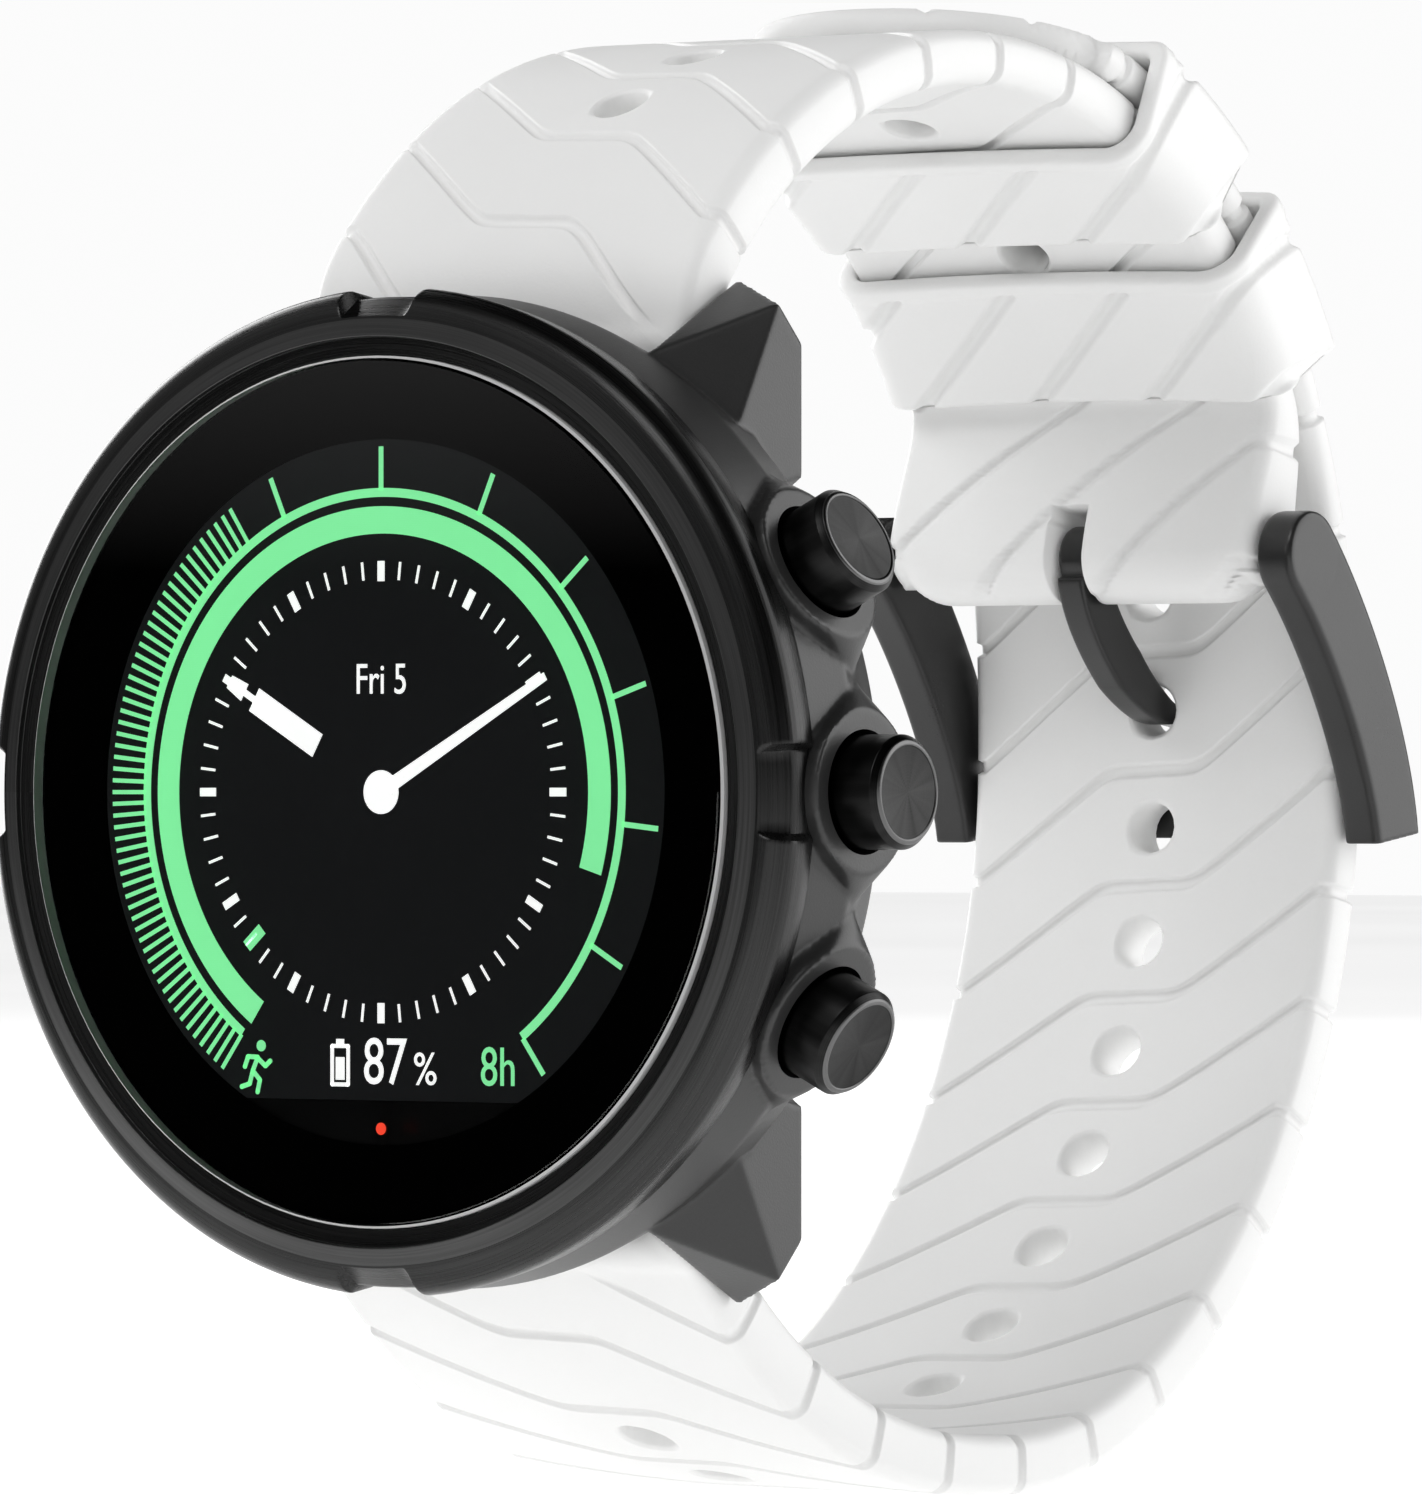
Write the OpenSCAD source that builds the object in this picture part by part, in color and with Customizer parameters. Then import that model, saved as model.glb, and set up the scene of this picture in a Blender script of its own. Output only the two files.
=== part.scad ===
// GPS running watch: a round case with a steel bezel, three push buttons on its right
// side and a silicone strap that is closed behind the wrist by a pin buckle.
// +Z points to 12 o'clock, +X to 3 o'clock and the glass faces -Y. The origin is the
// centre of the flat window on the case back, which rests on the skin.

/* [Case] */
// Diameter of the bezel
case_d = 50; // [48:1:62]
// Height of the watch, from the skin to the glass
case_h = 16.8; // [16.8:0.1:21]
// Thickness of the case wall round the works
case_wall = 3.7; // [3.3:0.1:5]
// Thickness of the crystal
crystal_t = 1.0; // [0.8:0.1:1.6]
// Diameter of the window over the pulse sensor
sensor_d = 16; // [13:0.5:18]
// Length of a bezel notch along the rim
notch_w = 4.4; // [3:0.2:6]

/* [Buttons] */
// Diameter of a button's head
button_d = 5.6; // [4.6:0.1:6.2]
// Depth of the button axes below the glass
button_depth = 6.8; // [6.6:0.1:8]
// Angle between neighbouring buttons
button_step = 26.4; // [24:0.2:32]
// How far a button travels
button_travel = 0.7; // [0.4:0.05:0.7]
// Radial gap round a button's head and stem
button_gap = 0.05; // [0.02:0.01:0.1]

/* [Strap] */
// Width of the strap
strap_w = 23.8; // [19.8:0.2:29]
// Thickness of the strap at the case
strap_t_case = 3.6; // [3:0.1:4]
// Thickness of the short strap round the wrist
strap_t_short = 2.7; // [2.2:0.1:3.2]
// Thickness of the long strap behind the wrist
strap_t_long = 2.8; // [2.2:0.1:3.2]
// Thickness of the long strap's tail
strap_t_tail = 2.0; // [1.6:0.1:2.4]
// Diameter of the adjustment holes
hole_d = 2.8; // [2.6:0.1:3.4]
// Distance between two adjustment holes
hole_pitch = 6.5; // [6:0.1:7.5]
// How far the closed loop reaches behind the skin, to the middle of the strap
loop_depth = 53.8; // [51:0.1:69]

/* [Buckle] */
// Diameter of the buckle's bar
bar_d = 1.5; // [1.2:0.1:1.8]
// Thickness of a buckle arm across the strap
arm_w = 2.2; // [1.6:0.1:3]
// Width of the tang
tang_w = 1.7; // [1.3:0.1:2]
// Thickness of a keeper's wall
keeper_wall = 1.0; // [0.8:0.1:1.6]
// Width of a keeper along the strap, in degrees of the wrist arc
keeper_span = 17.2; // [14:0.2:18]

/* [Hidden] */
$fn = 96;

eps = 0.01;
fit = 0.05;              // running clearance of a pin in its bore, on the radius
seat = 0.1;              // gap between stacked or nested parts of the case
clear = 0.3;             // gap between parts that move past each other

// --- Heights above the skin and radii of the case stack ---
case_r = case_d / 2;
cavity_r = case_r - case_wall - 2.5;             // room for the display and the frame
well_r = cavity_r - 0.5;                         // room for the battery, lower down
crystal_r = case_r - 3.5;
panel_r = cavity_r - 0.6;
gasket_t = 0.3;
crystal_z = case_h - crystal_t;
ledge_z = crystal_z - gasket_t;                  // shelf of the bezel under the gasket
shoulder_z = case_h - 3.4;                       // where the bezel sits on the case
neck_z = ledge_z - 1.0;                          // top of the case middle
panel_t = 1.2;
backlight_t = 0.9;
frame_t = 0.8;
board_t = 0.8;
panel_z = crystal_z - seat - panel_t;
backlight_z = panel_z - backlight_t;
frame_z = backlight_z - frame_t;
board_gap = 0.6;
board_z = frame_z - board_gap - board_t;
board_r = case_r - 8.1;
button_z = case_h - button_depth;
back_z = 2.6;                                    // lower face of the case middle
spigot_t = 0.8;                                  // part of the back inside the case
plate_t = 1.0;                                   // part of the back under the case
back_r = well_r + 0.9;
battery_z = back_z + spigot_t + 1.1;
battery_size = [22, 18, 4.2];
island_h = 1.2;                                  // rise of the back round the sensor
sensor_r = sensor_d / 2;
window_lip = 1.0;
screw_ring_r = well_r - 2.0;
screw_angles = [50, 130, 230, 310];
screw_r = 0.8;
screw_head_r = 1.35;
post_r = 2.2;
post_top = back_z + 6.4;

// --- Buttons, measured outward along their own axes ---
button_angles = [button_step, 0, -button_step];
head_r = button_d / 2;
stem_r = 1.0;
bush_r = 1.9;
boss_r = head_r + 1.25;
boss_face = case_r + 0.2;
recess_floor = case_r - 4.0;
bush_in = case_r - 6.6;
head_face = case_r + 2.9;
head_back = recess_floor + button_travel + clear;
spring_room = 1.3;                               // depth of the spring pocket in the head
spring_r = 1.65;
spring_wire_r = 0.13;
clip_t = 0.4;
clip_r = 1.6;
stem_in = bush_in - seat - clip_t - 0.6;
switch_face = stem_in - button_travel - seat;
seal_in = bush_in + 1.2;

// --- Lugs and spring bars ---
lug_x = strap_w / 2 + 0.2;
lug_w = 4.1;
spring_bar_y = case_r - 3.0;                     // above and below the middle
spring_bar_z = 4.9;                              // above the skin
spring_bar_r = 0.9;
spring_tip_r = 0.6;
strap_eye_r = 2.0;
pocket_y = spring_bar_y - strap_eye_r - 0.25;
pocket_z = spring_bar_z + strap_eye_r + 0.3;

// --- Strap lines, in the plane across the wrist as [Y, Z] ---
upper_bar = [-spring_bar_z, spring_bar_y];
lower_bar = [-spring_bar_z, -spring_bar_y];
arc_in = 33.6;                                   // centre of the wrist arc, in from the loop's back
arc_down = 15.0;                                 // and down from the upper spring bar
wrist_c = [loop_depth - arc_in, spring_bar_y - arc_down];
short_r = 30.65;                                 // middle of the short strap on its arc
tail_r = short_r + strap_t_short / 2 + seat + strap_t_tail / 2;
entry_angle = 140;                               // where the short strap joins the arc
leave_angle = 28;                                // where it leaves the arc again
tail_entry_angle = 25;
tail_end_angle = 84;
thin_angle = tail_end_angle + 4;                 // the short strap is thin from here on
buckle_c = wrist_c + [26.1, 5.5];                // axis of the buckle's bar
buckle_eye_r = 2.5;                              // the short strap's end round that bar
low_in = 31.1;                                   // lowest point, in from the loop's back
low_down = 12.6;                                 // and down from the lower spring bar
rear_up = 36.1;                                  // rearmost point above the lowest one
loop_low = [loop_depth - low_in, -spring_bar_y - low_down];
loop_rear = [loop_depth, loop_low[1] + rear_up];

function on_arc(c, r, a) = c + r * [cos(a), sin(a)];
function heading(a) = [cos(a), sin(a)];
function bez_at(p, t) =
  (1 - t)^3 * p[0] + 3 * (1 - t)^2 * t * p[1] + 3 * (1 - t) * t^2 * p[2] + t^3 * p[3];
function bez_dir(p, t) =
  let(d = (1 - t)^2 * (p[1] - p[0]) + 2 * (1 - t) * t * (p[2] - p[1]) + t^2 * (p[3] - p[2]))
  d / norm(d);
// A run is a list of [point, direction, thickness]; from = 1 leaves out a shared first point
function curve_run(p0, a0, k0, p1, a1, k1, t0, t1, n, from = 0) =
  let(p = [p0, p0 + k0 * heading(a0), p1 - k1 * heading(a1), p1])
  [for (i = [from:n]) [bez_at(p, i / n), bez_dir(p, i / n), t0 + (t1 - t0) * i / n]];
function arc_run(c, r, a0, a1, t0, t1, n, from = 0) =
  [for (i = [from:n]) let(a = a0 + (a1 - a0) * i / n)
    [on_arc(c, r, a), sign(a1 - a0) * [-sin(a), cos(a)], t0 + (t1 - t0) * i / n]];
function edge(s, k) = s[0] + k * s[2] / 2 * [-s[1][1], s[1][0]];
function outline(run) = concat(
  [for (s = run) edge(s, 1)],
  [for (i = [len(run) - 1:-1:0]) edge(run[i], -1)]);
function lengths(run) =
  [for (i = 0, s = 0; i < len(run);
    s = s + (i + 1 < len(run) ? norm(run[i + 1][0] - run[i][0]) : 0), i = i + 1) s];
// Point or direction (k = 0 or 1) at a length along a run
function along(run, k, s) = let(l = lengths(run))
  [for (j = [0, 1]) lookup(s, [for (i = [0:len(run) - 1]) [l[i], run[i][k][j]]])];

short_run = concat(
  curve_run(upper_bar, 84, 2.0, on_arc(wrist_c, short_r, entry_angle), entry_angle - 90, 2.0,
    strap_t_case, strap_t_case, 4),
  arc_run(wrist_c, short_r, entry_angle, thin_angle, strap_t_case, strap_t_short, 8, 1),
  arc_run(wrist_c, short_r, thin_angle, leave_angle, strap_t_short, strap_t_short, 19, 1),
  curve_run(on_arc(wrist_c, short_r, leave_angle), leave_angle - 90, 2.6, buckle_c, -96, 4.0,
    strap_t_short, 2 * buckle_eye_r, 6, 1));
long_run = concat(
  curve_run(lower_bar, -49, 11.5, loop_low, 0, 11.5, strap_t_case, 3.1, 9),
  curve_run(loop_low, 0, 16.4, loop_rear, 90, 18.8, 3.1, strap_t_long, 16, 1),
  curve_run(loop_rear, 90, 7, on_arc(wrist_c, tail_r, tail_entry_angle),
    tail_entry_angle + 90, 7, strap_t_long, strap_t_tail, 7, 1),
  arc_run(wrist_c, tail_r, tail_entry_angle, tail_end_angle, strap_t_tail, strap_t_tail, 18, 1));

long_first_hole = 15.3;                          // from the lower spring bar
long_holes = 18;
tang_drop = 7.8;                                 // from the buckle's bar down to the tang's hole
function long_hole(k) = along(long_run, 0, long_first_hole + k * hole_pitch);
tang_hole = [for (k = [6:long_holes - 1])
  if (long_hole(k)[1] > buckle_c[1] - tang_drop - hole_pitch / 2) k][0];
short_first_hole = 15.8;                         // from the upper spring bar
short_holes = 7;
tang_c = long_hole(tang_hole);
tang_side = along(long_run, 1, long_first_hole + tang_hole * hole_pitch);
hole_axis = atan2(tang_side[1], tang_side[0]) - 90;   // away from the wrist
tail_tip = on_arc(wrist_c, tail_r, tail_end_angle);

keeper_in_r = short_r - strap_t_short / 2 - 0.2;
keeper_out_r = tail_r + strap_t_tail / 2 + 0.2;
keeper_half_w = strap_w / 2 + 0.25;
keeper_angles = [58.4, 37];                      // middle of the upper and the lower keeper

frame_x = strap_w / 2 + 0.35;                    // inner face of a buckle arm
crossbar = [1.2, 3.4];                           // its depth and height
crossbar_c = [loop_depth + strap_t_long / 2 + clear + crossbar[0] / 2, loop_rear[1] - 2.3];
arm_t = [4.8, 4.2];                              // depth of an arm at the bar and at its end
arm_run = curve_run(buckle_c, -45, 5,
  crossbar_c + [(crossbar[0] - arm_t[1]) / 2, -crossbar[1] / 2], -82, 5, arm_t[0], arm_t[1], 10);
tang_ring_r = bar_d / 2 + 1.0;
tang_t = 1.0;
tang_mid = tang_c - [0, 0.25];                   // leaves room to lift inside the hole
tang_pass = hole_axis - 6.8;                     // the tang's own direction in the hole
tang_tip = tang_c + 3.34 * heading(hole_axis - 36.4);
tang_run = concat(
  curve_run(buckle_c + [-0.5, -0.9], -84, 2.6, tang_mid, tang_pass, 3.0, 2.4, tang_t, 10),
  curve_run(tang_mid, tang_pass, 2.1, tang_tip, tang_pass - 80, 1.2, tang_t, tang_t, 8, 1));

// --- Places ---
// Case parts are drawn with the skin as the floor and 12 o'clock along +Y
module on_skin() { rotate([90, 0, 0]) children(); }
// Button parts are drawn along +Z, which is the button's outward axis
module on_button(i) {
  on_skin() translate([0, 0, button_z]) rotate([0, 0, button_angles[i]]) rotate([0, 90, 0])
    children();
}
// Strap parts are drawn flat in the plane across the wrist and stretched over a width
module across(w) { rotate([90, 0, 90]) translate([0, 0, -w / 2]) linear_extrude(w) children(); }
module rod_across(p, r, w) {
  translate([0, p[0], p[1]]) rotate([0, 90, 0]) cylinder(r = r, h = w, center = true);
}
module strap_hole(run, s) {
  p = along(run, 0, s);
  d = along(run, 1, s);
  translate([0, p[0], p[1]]) rotate([atan2(d[1], d[0]), 0, 0])
    cylinder(d = hole_d, h = 6, center = true);
}

// --- Case ---
// Wall of the case, widest at the height of the buttons
module case_middle_shell() {
  rotate_extrude() polygon([
    [0, back_z], [case_r - 4.8, back_z], [case_r - 2.8, back_z + 1.8],
    [case_r - 1.0, button_z - 3], [case_r - 0.25, button_z], [case_r - 0.7, shoulder_z],
    [case_r - 2.5, shoulder_z], [case_r - 2.5, neck_z], [0, neck_z]]);
}

module button_boss(i) {
  rotate([0, 0, button_angles[i]]) translate([0, 0, button_z]) rotate([0, 90, 0]) {
    translate([0, 0, bush_in + 1]) cylinder(r = boss_r, h = boss_face - bush_in - 1);
  }
}

module lug() {
  tip = case_r + 0.4;
  intersection() {
    translate([lug_x, 0, 0]) rotate([90, 0, 90]) linear_extrude(lug_w) polygon([
      [case_r - 13, back_z], [tip - 1.2, back_z], [tip, back_z + 0.5], [tip, back_z + 1.6],
      [case_r - 7, back_z + 6.4], [case_r - 10, button_z], [case_r - 13, button_z]]);
    linear_extrude(case_h) polygon([
      [lug_x, case_r - 14], [lug_x + lug_w, case_r - 14], [lug_x + lug_w, case_r - 2.9],
      [lug_x + lug_w * 0.6, tip - 1.0], [lug_x + 0.6, tip], [lug_x, tip]]);
  }
}

module lugs() {
  for (sx = [0, 1], sy = [0, 1]) mirror([sx, 0, 0]) mirror([0, sy, 0]) lug();
}

module case_middle() {
  color("#3a3c3f") on_skin() difference() {
    union() {
      difference() {
        union() {
          case_middle_shell();
          lugs();
          intersection() {
            for (i = [0:2]) button_boss(i);
            cylinder(r = case_r + 3, h = shoulder_z);
          }
        }
        translate([0, 0, back_z - eps]) cylinder(r = well_r, h = case_h);
        translate([0, 0, button_z - 2.4]) cylinder(r = cavity_r, h = case_h);
        translate([0, 0, back_z - eps]) cylinder(r = back_r - 0.2, h = 0.6 + eps);
      }
      for (a = screw_angles) rotate([0, 0, a]) translate([screw_ring_r, 0, back_z + spigot_t])
        cylinder(r = post_r, h = post_top - back_z - spigot_t);
    }
    for (a = screw_angles) rotate([0, 0, a]) translate([screw_ring_r, 0, 0])
      cylinder(r = screw_r, h = post_top - 1);
    for (s = [0, 1]) mirror([0, s, 0]) {
      translate([-lug_x, pocket_y, 0]) cube([2 * lug_x, 12, pocket_z]);
      translate([0, spring_bar_y, spring_bar_z]) rotate([0, 90, 0])
        cylinder(r = spring_tip_r + fit, h = 2 * lug_x + 3.2, center = true);
    }
    for (a = button_angles) rotate([0, 0, a]) translate([0, 0, button_z]) rotate([0, 90, 0]) {
      translate([0, 0, bush_in]) cylinder(r = bush_r, h = case_r);
      translate([0, 0, recess_floor]) cylinder(r = head_r + button_gap + 0.2, h = case_r);
    }
  }
}

module bezel() {
  r1 = case_r - 1.6;                             // outer edge of the front chamfer
  color("#202124") on_skin() difference() {
    rotate_extrude() polygon(concat(
      [[cavity_r + 0.8, neck_z + seat / 2], [cavity_r + 0.8, ledge_z],
       [crystal_r + fit, ledge_z], [crystal_r + fit, case_h - 0.35],
       [case_r - 2.55, case_h - 0.35], [case_r - 2.55, case_h], [r1, case_h - 0.3]],
      [for (t = [15:15:90]) [r1 + 1.6 * sin(t), case_h - 1.8 + 1.5 * cos(t)]],
      [[case_r - 0.25, shoulder_z], [case_r - 2.5 + fit, shoulder_z],
       [case_r - 2.5 + fit, neck_z + seat / 2]]));
    for (a = [0:90:270]) rotate([0, 0, a]) translate([case_r - 0.42, -notch_w / 2, shoulder_z + 0.5])
      cube([2, notch_w, 4]);
  }
}

module crystal() {
  color("#1d2023", 0.4) on_skin() translate([0, 0, crystal_z]) rotate_extrude() polygon([
    [0, 0], [crystal_r, 0], [crystal_r, crystal_t - 0.25], [crystal_r - 0.25, crystal_t],
    [0, crystal_t]]);
}

module crystal_gasket() {
  color("#101010") on_skin() translate([0, 0, ledge_z]) difference() {
    cylinder(r = crystal_r, h = gasket_t);
    translate([0, 0, -eps]) cylinder(r = cavity_r + 1.1, h = gasket_t + 2 * eps);
  }
}

// --- Works ---
flex_y = -(board_r + 0.2);                       // inner face of the ribbon's fold
module display_panel() {
  color("#0c0d0e") on_skin() translate([0, 0, panel_z]) cylinder(r = panel_r, h = panel_t);
}

module backlight_plate() {
  color("#d8dadb") on_skin() translate([0, 0, backlight_z]) intersection() {
    cylinder(r = panel_r - 0.8, h = backlight_t);
    translate([-case_r, flex_y + 1.4, 0]) cube([case_d, case_d, backlight_t]);
  }
}

module display_flex() {
  color("#b5762a") on_skin() translate([-4, flex_y - 0.3, 0]) {
    translate([0, 0, board_z + board_t]) cube([8, 0.3, panel_z - board_z - board_t]);
    translate([0, 0.3 - eps, panel_z - 0.2]) cube([8, 1.2, 0.2]);
    translate([0, 0.3 - eps, board_z + board_t]) cube([8, 3, 0.2]);
  }
}

module inner_frame() {
  color("#2b2d30") on_skin() difference() {
    union() {
      translate([0, 0, frame_z]) cylinder(r = cavity_r - seat, h = frame_t);
      translate([0, 0, backlight_z]) difference() {
        cylinder(r = cavity_r - seat, h = backlight_t);
        translate([0, 0, -eps]) cylinder(r = panel_r - 0.8 + fit, h = backlight_t + 1);
      }
      for (a = [45:90:315]) rotate([0, 0, a]) translate([board_r - 2.5, 0, board_z + board_t])
        cylinder(r = 1.2, h = board_gap);
    }
    translate([-4.6, -case_r, board_z]) cube([9.2, case_r + flex_y + 1.4, case_h]);
    translate([0, 0, frame_z - eps]) cylinder(r = 6, h = frame_t + 2 * eps);
  }
}

module main_board() {
  color("#1f5a3a") on_skin() translate([0, 0, board_z]) cylinder(r = board_r, h = board_t);
}

module board_shields() {
  h = 1.3;
  color("#b9bcc0") on_skin() translate([0, 0, board_z - h]) {
    translate([-10, -4, 0]) cube([8, 9, h]);
    translate([-1, -3, 0]) cube([7, 7, h]);
    translate([-3, 6.5, 0]) cube([9, 5, h]);
  }
}

module button_switches() {
  color("#8d9094") on_skin() for (a = button_angles) rotate([0, 0, a])
    translate([switch_face - 2.8, -1.8, button_z - 0.9]) cube([2.8, 3.6, board_z - button_z + 0.9]);
}

module pressure_sensor() {
  color("#c9ccd0") on_skin() translate([-9.5, -9.5, board_z - 1.4]) difference() {
    cylinder(r = 1.8, h = 1.4);
    translate([0, 0, -eps]) cylinder(r = 0.5, h = 0.5);
  }
}

module gps_antenna() {
  color("#c2813c") on_skin() translate([0, 0, button_z - 0.8]) rotate([0, 0, 55])
    rotate_extrude(angle = 95) translate([cavity_r - 0.9, 0]) square([0.9, 2.2]);
}

module battery() {
  color("#9ea3a8") on_skin() translate([-battery_size[0] / 2, -battery_size[1] / 2, battery_z])
    cube(battery_size);
}

module vibration_motor() {
  color("#a8abaf") on_skin() translate([-(well_r - 3.4), 0, battery_z]) cylinder(r = 3.1, h = 2.7);
}

module buzzer() {
  color("#2a2b2d") on_skin() translate([well_r - 3.4, 0, battery_z]) difference() {
    cylinder(r = 3.1, h = 2.0);
    translate([0, 0, 1.5]) cylinder(r = 0.6, h = 1);
  }
}

// --- Case back ---
module case_back() {
  color("#4a4d50") on_skin() difference() {
    union() {
      translate([0, 0, back_z]) cylinder(r = well_r - seat, h = spigot_t);
      translate([0, 0, back_z - plate_t]) cylinder(r = back_r, h = plate_t);
      rotate_extrude() polygon([
        [0, back_z - plate_t - island_h], [sensor_r + 3.2, back_z - plate_t - island_h],
        [sensor_r + 5.4, back_z - plate_t], [0, back_z - plate_t]]);
    }
    cylinder(r = sensor_r, h = case_h);
    translate([0, 0, 2.0]) cylinder(r = sensor_r + window_lip, h = case_h);
    for (a = screw_angles) rotate([0, 0, a]) translate([screw_ring_r, 0, 0]) {
      cylinder(r = screw_r + fit, h = case_h);
      cylinder(r = screw_head_r + fit, h = back_z - plate_t + 0.6);
    }
    for (x = [-3.9:2.6:3.9]) translate([x, -(sensor_r + 5.5), 0]) cylinder(r = 0.7, h = case_h);
  }
}

module case_back_gasket() {
  color("#141414") on_skin() translate([0, 0, back_z]) difference() {
    cylinder(r = back_r - 0.2, h = 0.6);
    translate([0, 0, -eps]) cylinder(r = well_r - seat, h = 1);
  }
}

module case_back_screws() {
  head_z = back_z - plate_t;
  color("#c6c8ca") on_skin() for (a = screw_angles) rotate([0, 0, a])
    translate([screw_ring_r, 0, head_z]) difference() {
      union() {
        cylinder(r = screw_head_r, h = 0.6);
        cylinder(r = screw_r, h = post_top - 1.4 - head_z);
      }
      translate([0, 0, -eps]) cylinder(r = 0.6, h = 0.5, $fn = 6);
    }
}

module sensor_window() {
  color("#15181b") on_skin() difference() {
    union() {
      rotate_extrude() polygon([
        [0, 0], [sensor_r - 0.6, 0], [sensor_r, 0.6], [sensor_r, 2.0], [0, 2.0]]);
      translate([0, 0, 2.0]) cylinder(r = sensor_r + window_lip, h = 0.6);
    }
    translate([0, 0, 1.3]) cylinder(r = sensor_r - 1.5, h = 2);
  }
}

module sensor_board() {
  color("#1f5a3a") on_skin() translate([0, 0, 2.6])
    cylinder(r = sensor_r + window_lip, h = back_z + spigot_t - 2.6);
}

module sensor_leds() {
  color("#7fd07f") on_skin() for (a = [90, 210, 330]) rotate([0, 0, a])
    translate([2.4, -1.1, 1.6]) cube([2.6, 2.2, 1.0]);
}

module charging_contacts() {
  color("#c9a44a") on_skin() for (x = [-3.9:2.6:3.9])
    translate([x, -(sensor_r + 5.5), back_z - plate_t]) cylinder(r = 0.7, h = 2.4);
}

// --- Buttons ---
module push_button(i) {
  color("#1b1c1e") on_button(i) {
    difference() {
      rotate_extrude() polygon([
        [0, head_back], [head_r, head_back], [head_r, head_face - 0.5],
        [head_r - 0.25, head_face - 0.1], [head_r - 0.4, head_face], [0, head_face]]);
      translate([0, 0, head_back - eps]) cylinder(r = spring_r + 0.3, h = spring_room);
    }
    difference() {
      translate([0, 0, stem_in]) cylinder(r = stem_r, h = head_face - 1 - stem_in);
      translate([0, 0, bush_in - seat - clip_t]) difference() {
        cylinder(r = 2 * stem_r, h = clip_t);
        cylinder(r = stem_r - 0.25, h = clip_t);
      }
    }
  }
}

// Coil of round wire between the boss and the head, one ring of points every 24 degrees
module button_spring(i) {
  turns = 3;
  sides = 6;
  steps = turns * 15;
  z0 = recess_floor + spring_wire_r;
  z1 = head_back + spring_room - spring_wire_r - eps;
  points = [for (k = [0:steps], j = [0:sides - 1])
    let(a = 360 * turns * k / steps, b = 360 * j / sides, r = spring_r + spring_wire_r * cos(b))
    [r * cos(a), r * sin(a), z0 + (z1 - z0) * k / steps + spring_wire_r * sin(b)]];
  faces = concat(
    [[for (j = [0:sides - 1]) j]],
    [for (k = [0:steps - 1], j = [0:sides - 1]) let(n = (j + 1) % sides)
      [k * sides + j, (k + 1) * sides + j, (k + 1) * sides + n, k * sides + n]],
    [[for (j = [sides - 1:-1:0]) steps * sides + j]]);
  color("#b9bcc0") on_button(i) polyhedron(points, faces);
}

module button_bush(i) {
  color("#8f8468") on_button(i) difference() {
    translate([0, 0, bush_in]) cylinder(r = bush_r, h = recess_floor - bush_in);
    cylinder(r = stem_r + fit, h = case_r);
    translate([0, 0, seal_in]) cylinder(r = stem_r + 0.5, h = case_r);
  }
}

module button_seal(i) {
  color("#101010") on_button(i) rotate_extrude() intersection() {
    translate([stem_r + 0.22, seal_in + 1.05]) circle(r = 0.26, $fn = 32);
    translate([stem_r, seal_in]) square([1, 2]);
  }
}

module button_clip(i) {
  color("#b9bcc0") on_button(i) translate([0, 0, bush_in - seat - clip_t]) difference() {
    cylinder(r = clip_r, h = clip_t);
    translate([0, 0, -eps]) cylinder(r = stem_r - 0.25, h = 1);
    translate([-0.6, 0, -eps]) cube([1.2, 3, 1]);
  }
}

module button_upper() { push_button(0); }
module button_middle() { push_button(1); }
module button_lower() { push_button(2); }

// --- Strap ---
module spring_bar(s) {
  color("#c6c8ca") {
    rod_across([-spring_bar_z, s * spring_bar_y], spring_bar_r, 2 * lug_x - 0.4);
    rod_across([-spring_bar_z, s * spring_bar_y], spring_tip_r, 2 * lug_x + 3.0);
  }
}

module strap_short() {
  slot_w = tang_w + 0.8;
  color("#f2f2f0") difference() {
    union() {
      across(strap_w) polygon(outline(short_run));
      rod_across(upper_bar, strap_eye_r, strap_w);
      rod_across(buckle_c, buckle_eye_r, strap_w);
    }
    rod_across(upper_bar, spring_bar_r + fit, strap_w + 2);
    rod_across(buckle_c, bar_d / 2 + fit, strap_w + 2);
    translate([-slot_w / 2, buckle_c[0] - 5, buckle_c[1] - 5]) cube([slot_w, 10, 7.4]);
    for (k = [0:short_holes - 1]) strap_hole(short_run, short_first_hole + k * hole_pitch);
  }
}

module strap_long() {
  color("#f2f2f0") difference() {
    union() {
      across(strap_w) polygon(outline(long_run));
      rod_across(lower_bar, strap_eye_r, strap_w);
    }
    rod_across(lower_bar, spring_bar_r + fit, strap_w + 2);
    for (k = [0:long_holes - 1]) strap_hole(long_run, long_first_hole + k * hole_pitch);
    translate([0, tail_tip[0] + strap_w / 2 - eps, tail_tip[1] - 10]) difference() {
      translate([-strap_w, -strap_w / 2 - 3, 0]) cube([2 * strap_w, strap_w / 2 + 3, 20]);
      cylinder(d = strap_w - 2 * eps, h = 20);
    }
  }
}

// Loop with rounded corners, turned about the centre of the wrist arc
module keeper(i) {
  low = keeper_in_r - keeper_wall;
  high = keeper_out_r + keeper_wall;
  half = keeper_half_w + keeper_wall;
  corner = 1.2;
  color("#f2f2f0") translate([0, wrist_c[0], wrist_c[1]]) rotate([90, 0, 90])
    rotate([0, 0, keeper_angles[i] - keeper_span / 2]) rotate_extrude(angle = keeper_span)
      difference() {
        union() {
          translate([low, -half + corner]) square([high - low, 2 * (half - corner)]);
          translate([low + corner, -half]) square([high - low - 2 * corner, 2 * half]);
          for (r = [low + corner, high - corner], x = [-half + corner, half - corner])
            translate([r, x]) circle(r = corner, $fn = 48);
        }
        translate([keeper_in_r, -keeper_half_w])
          square([keeper_out_r - keeper_in_r, 2 * keeper_half_w]);
      }
}

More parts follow.
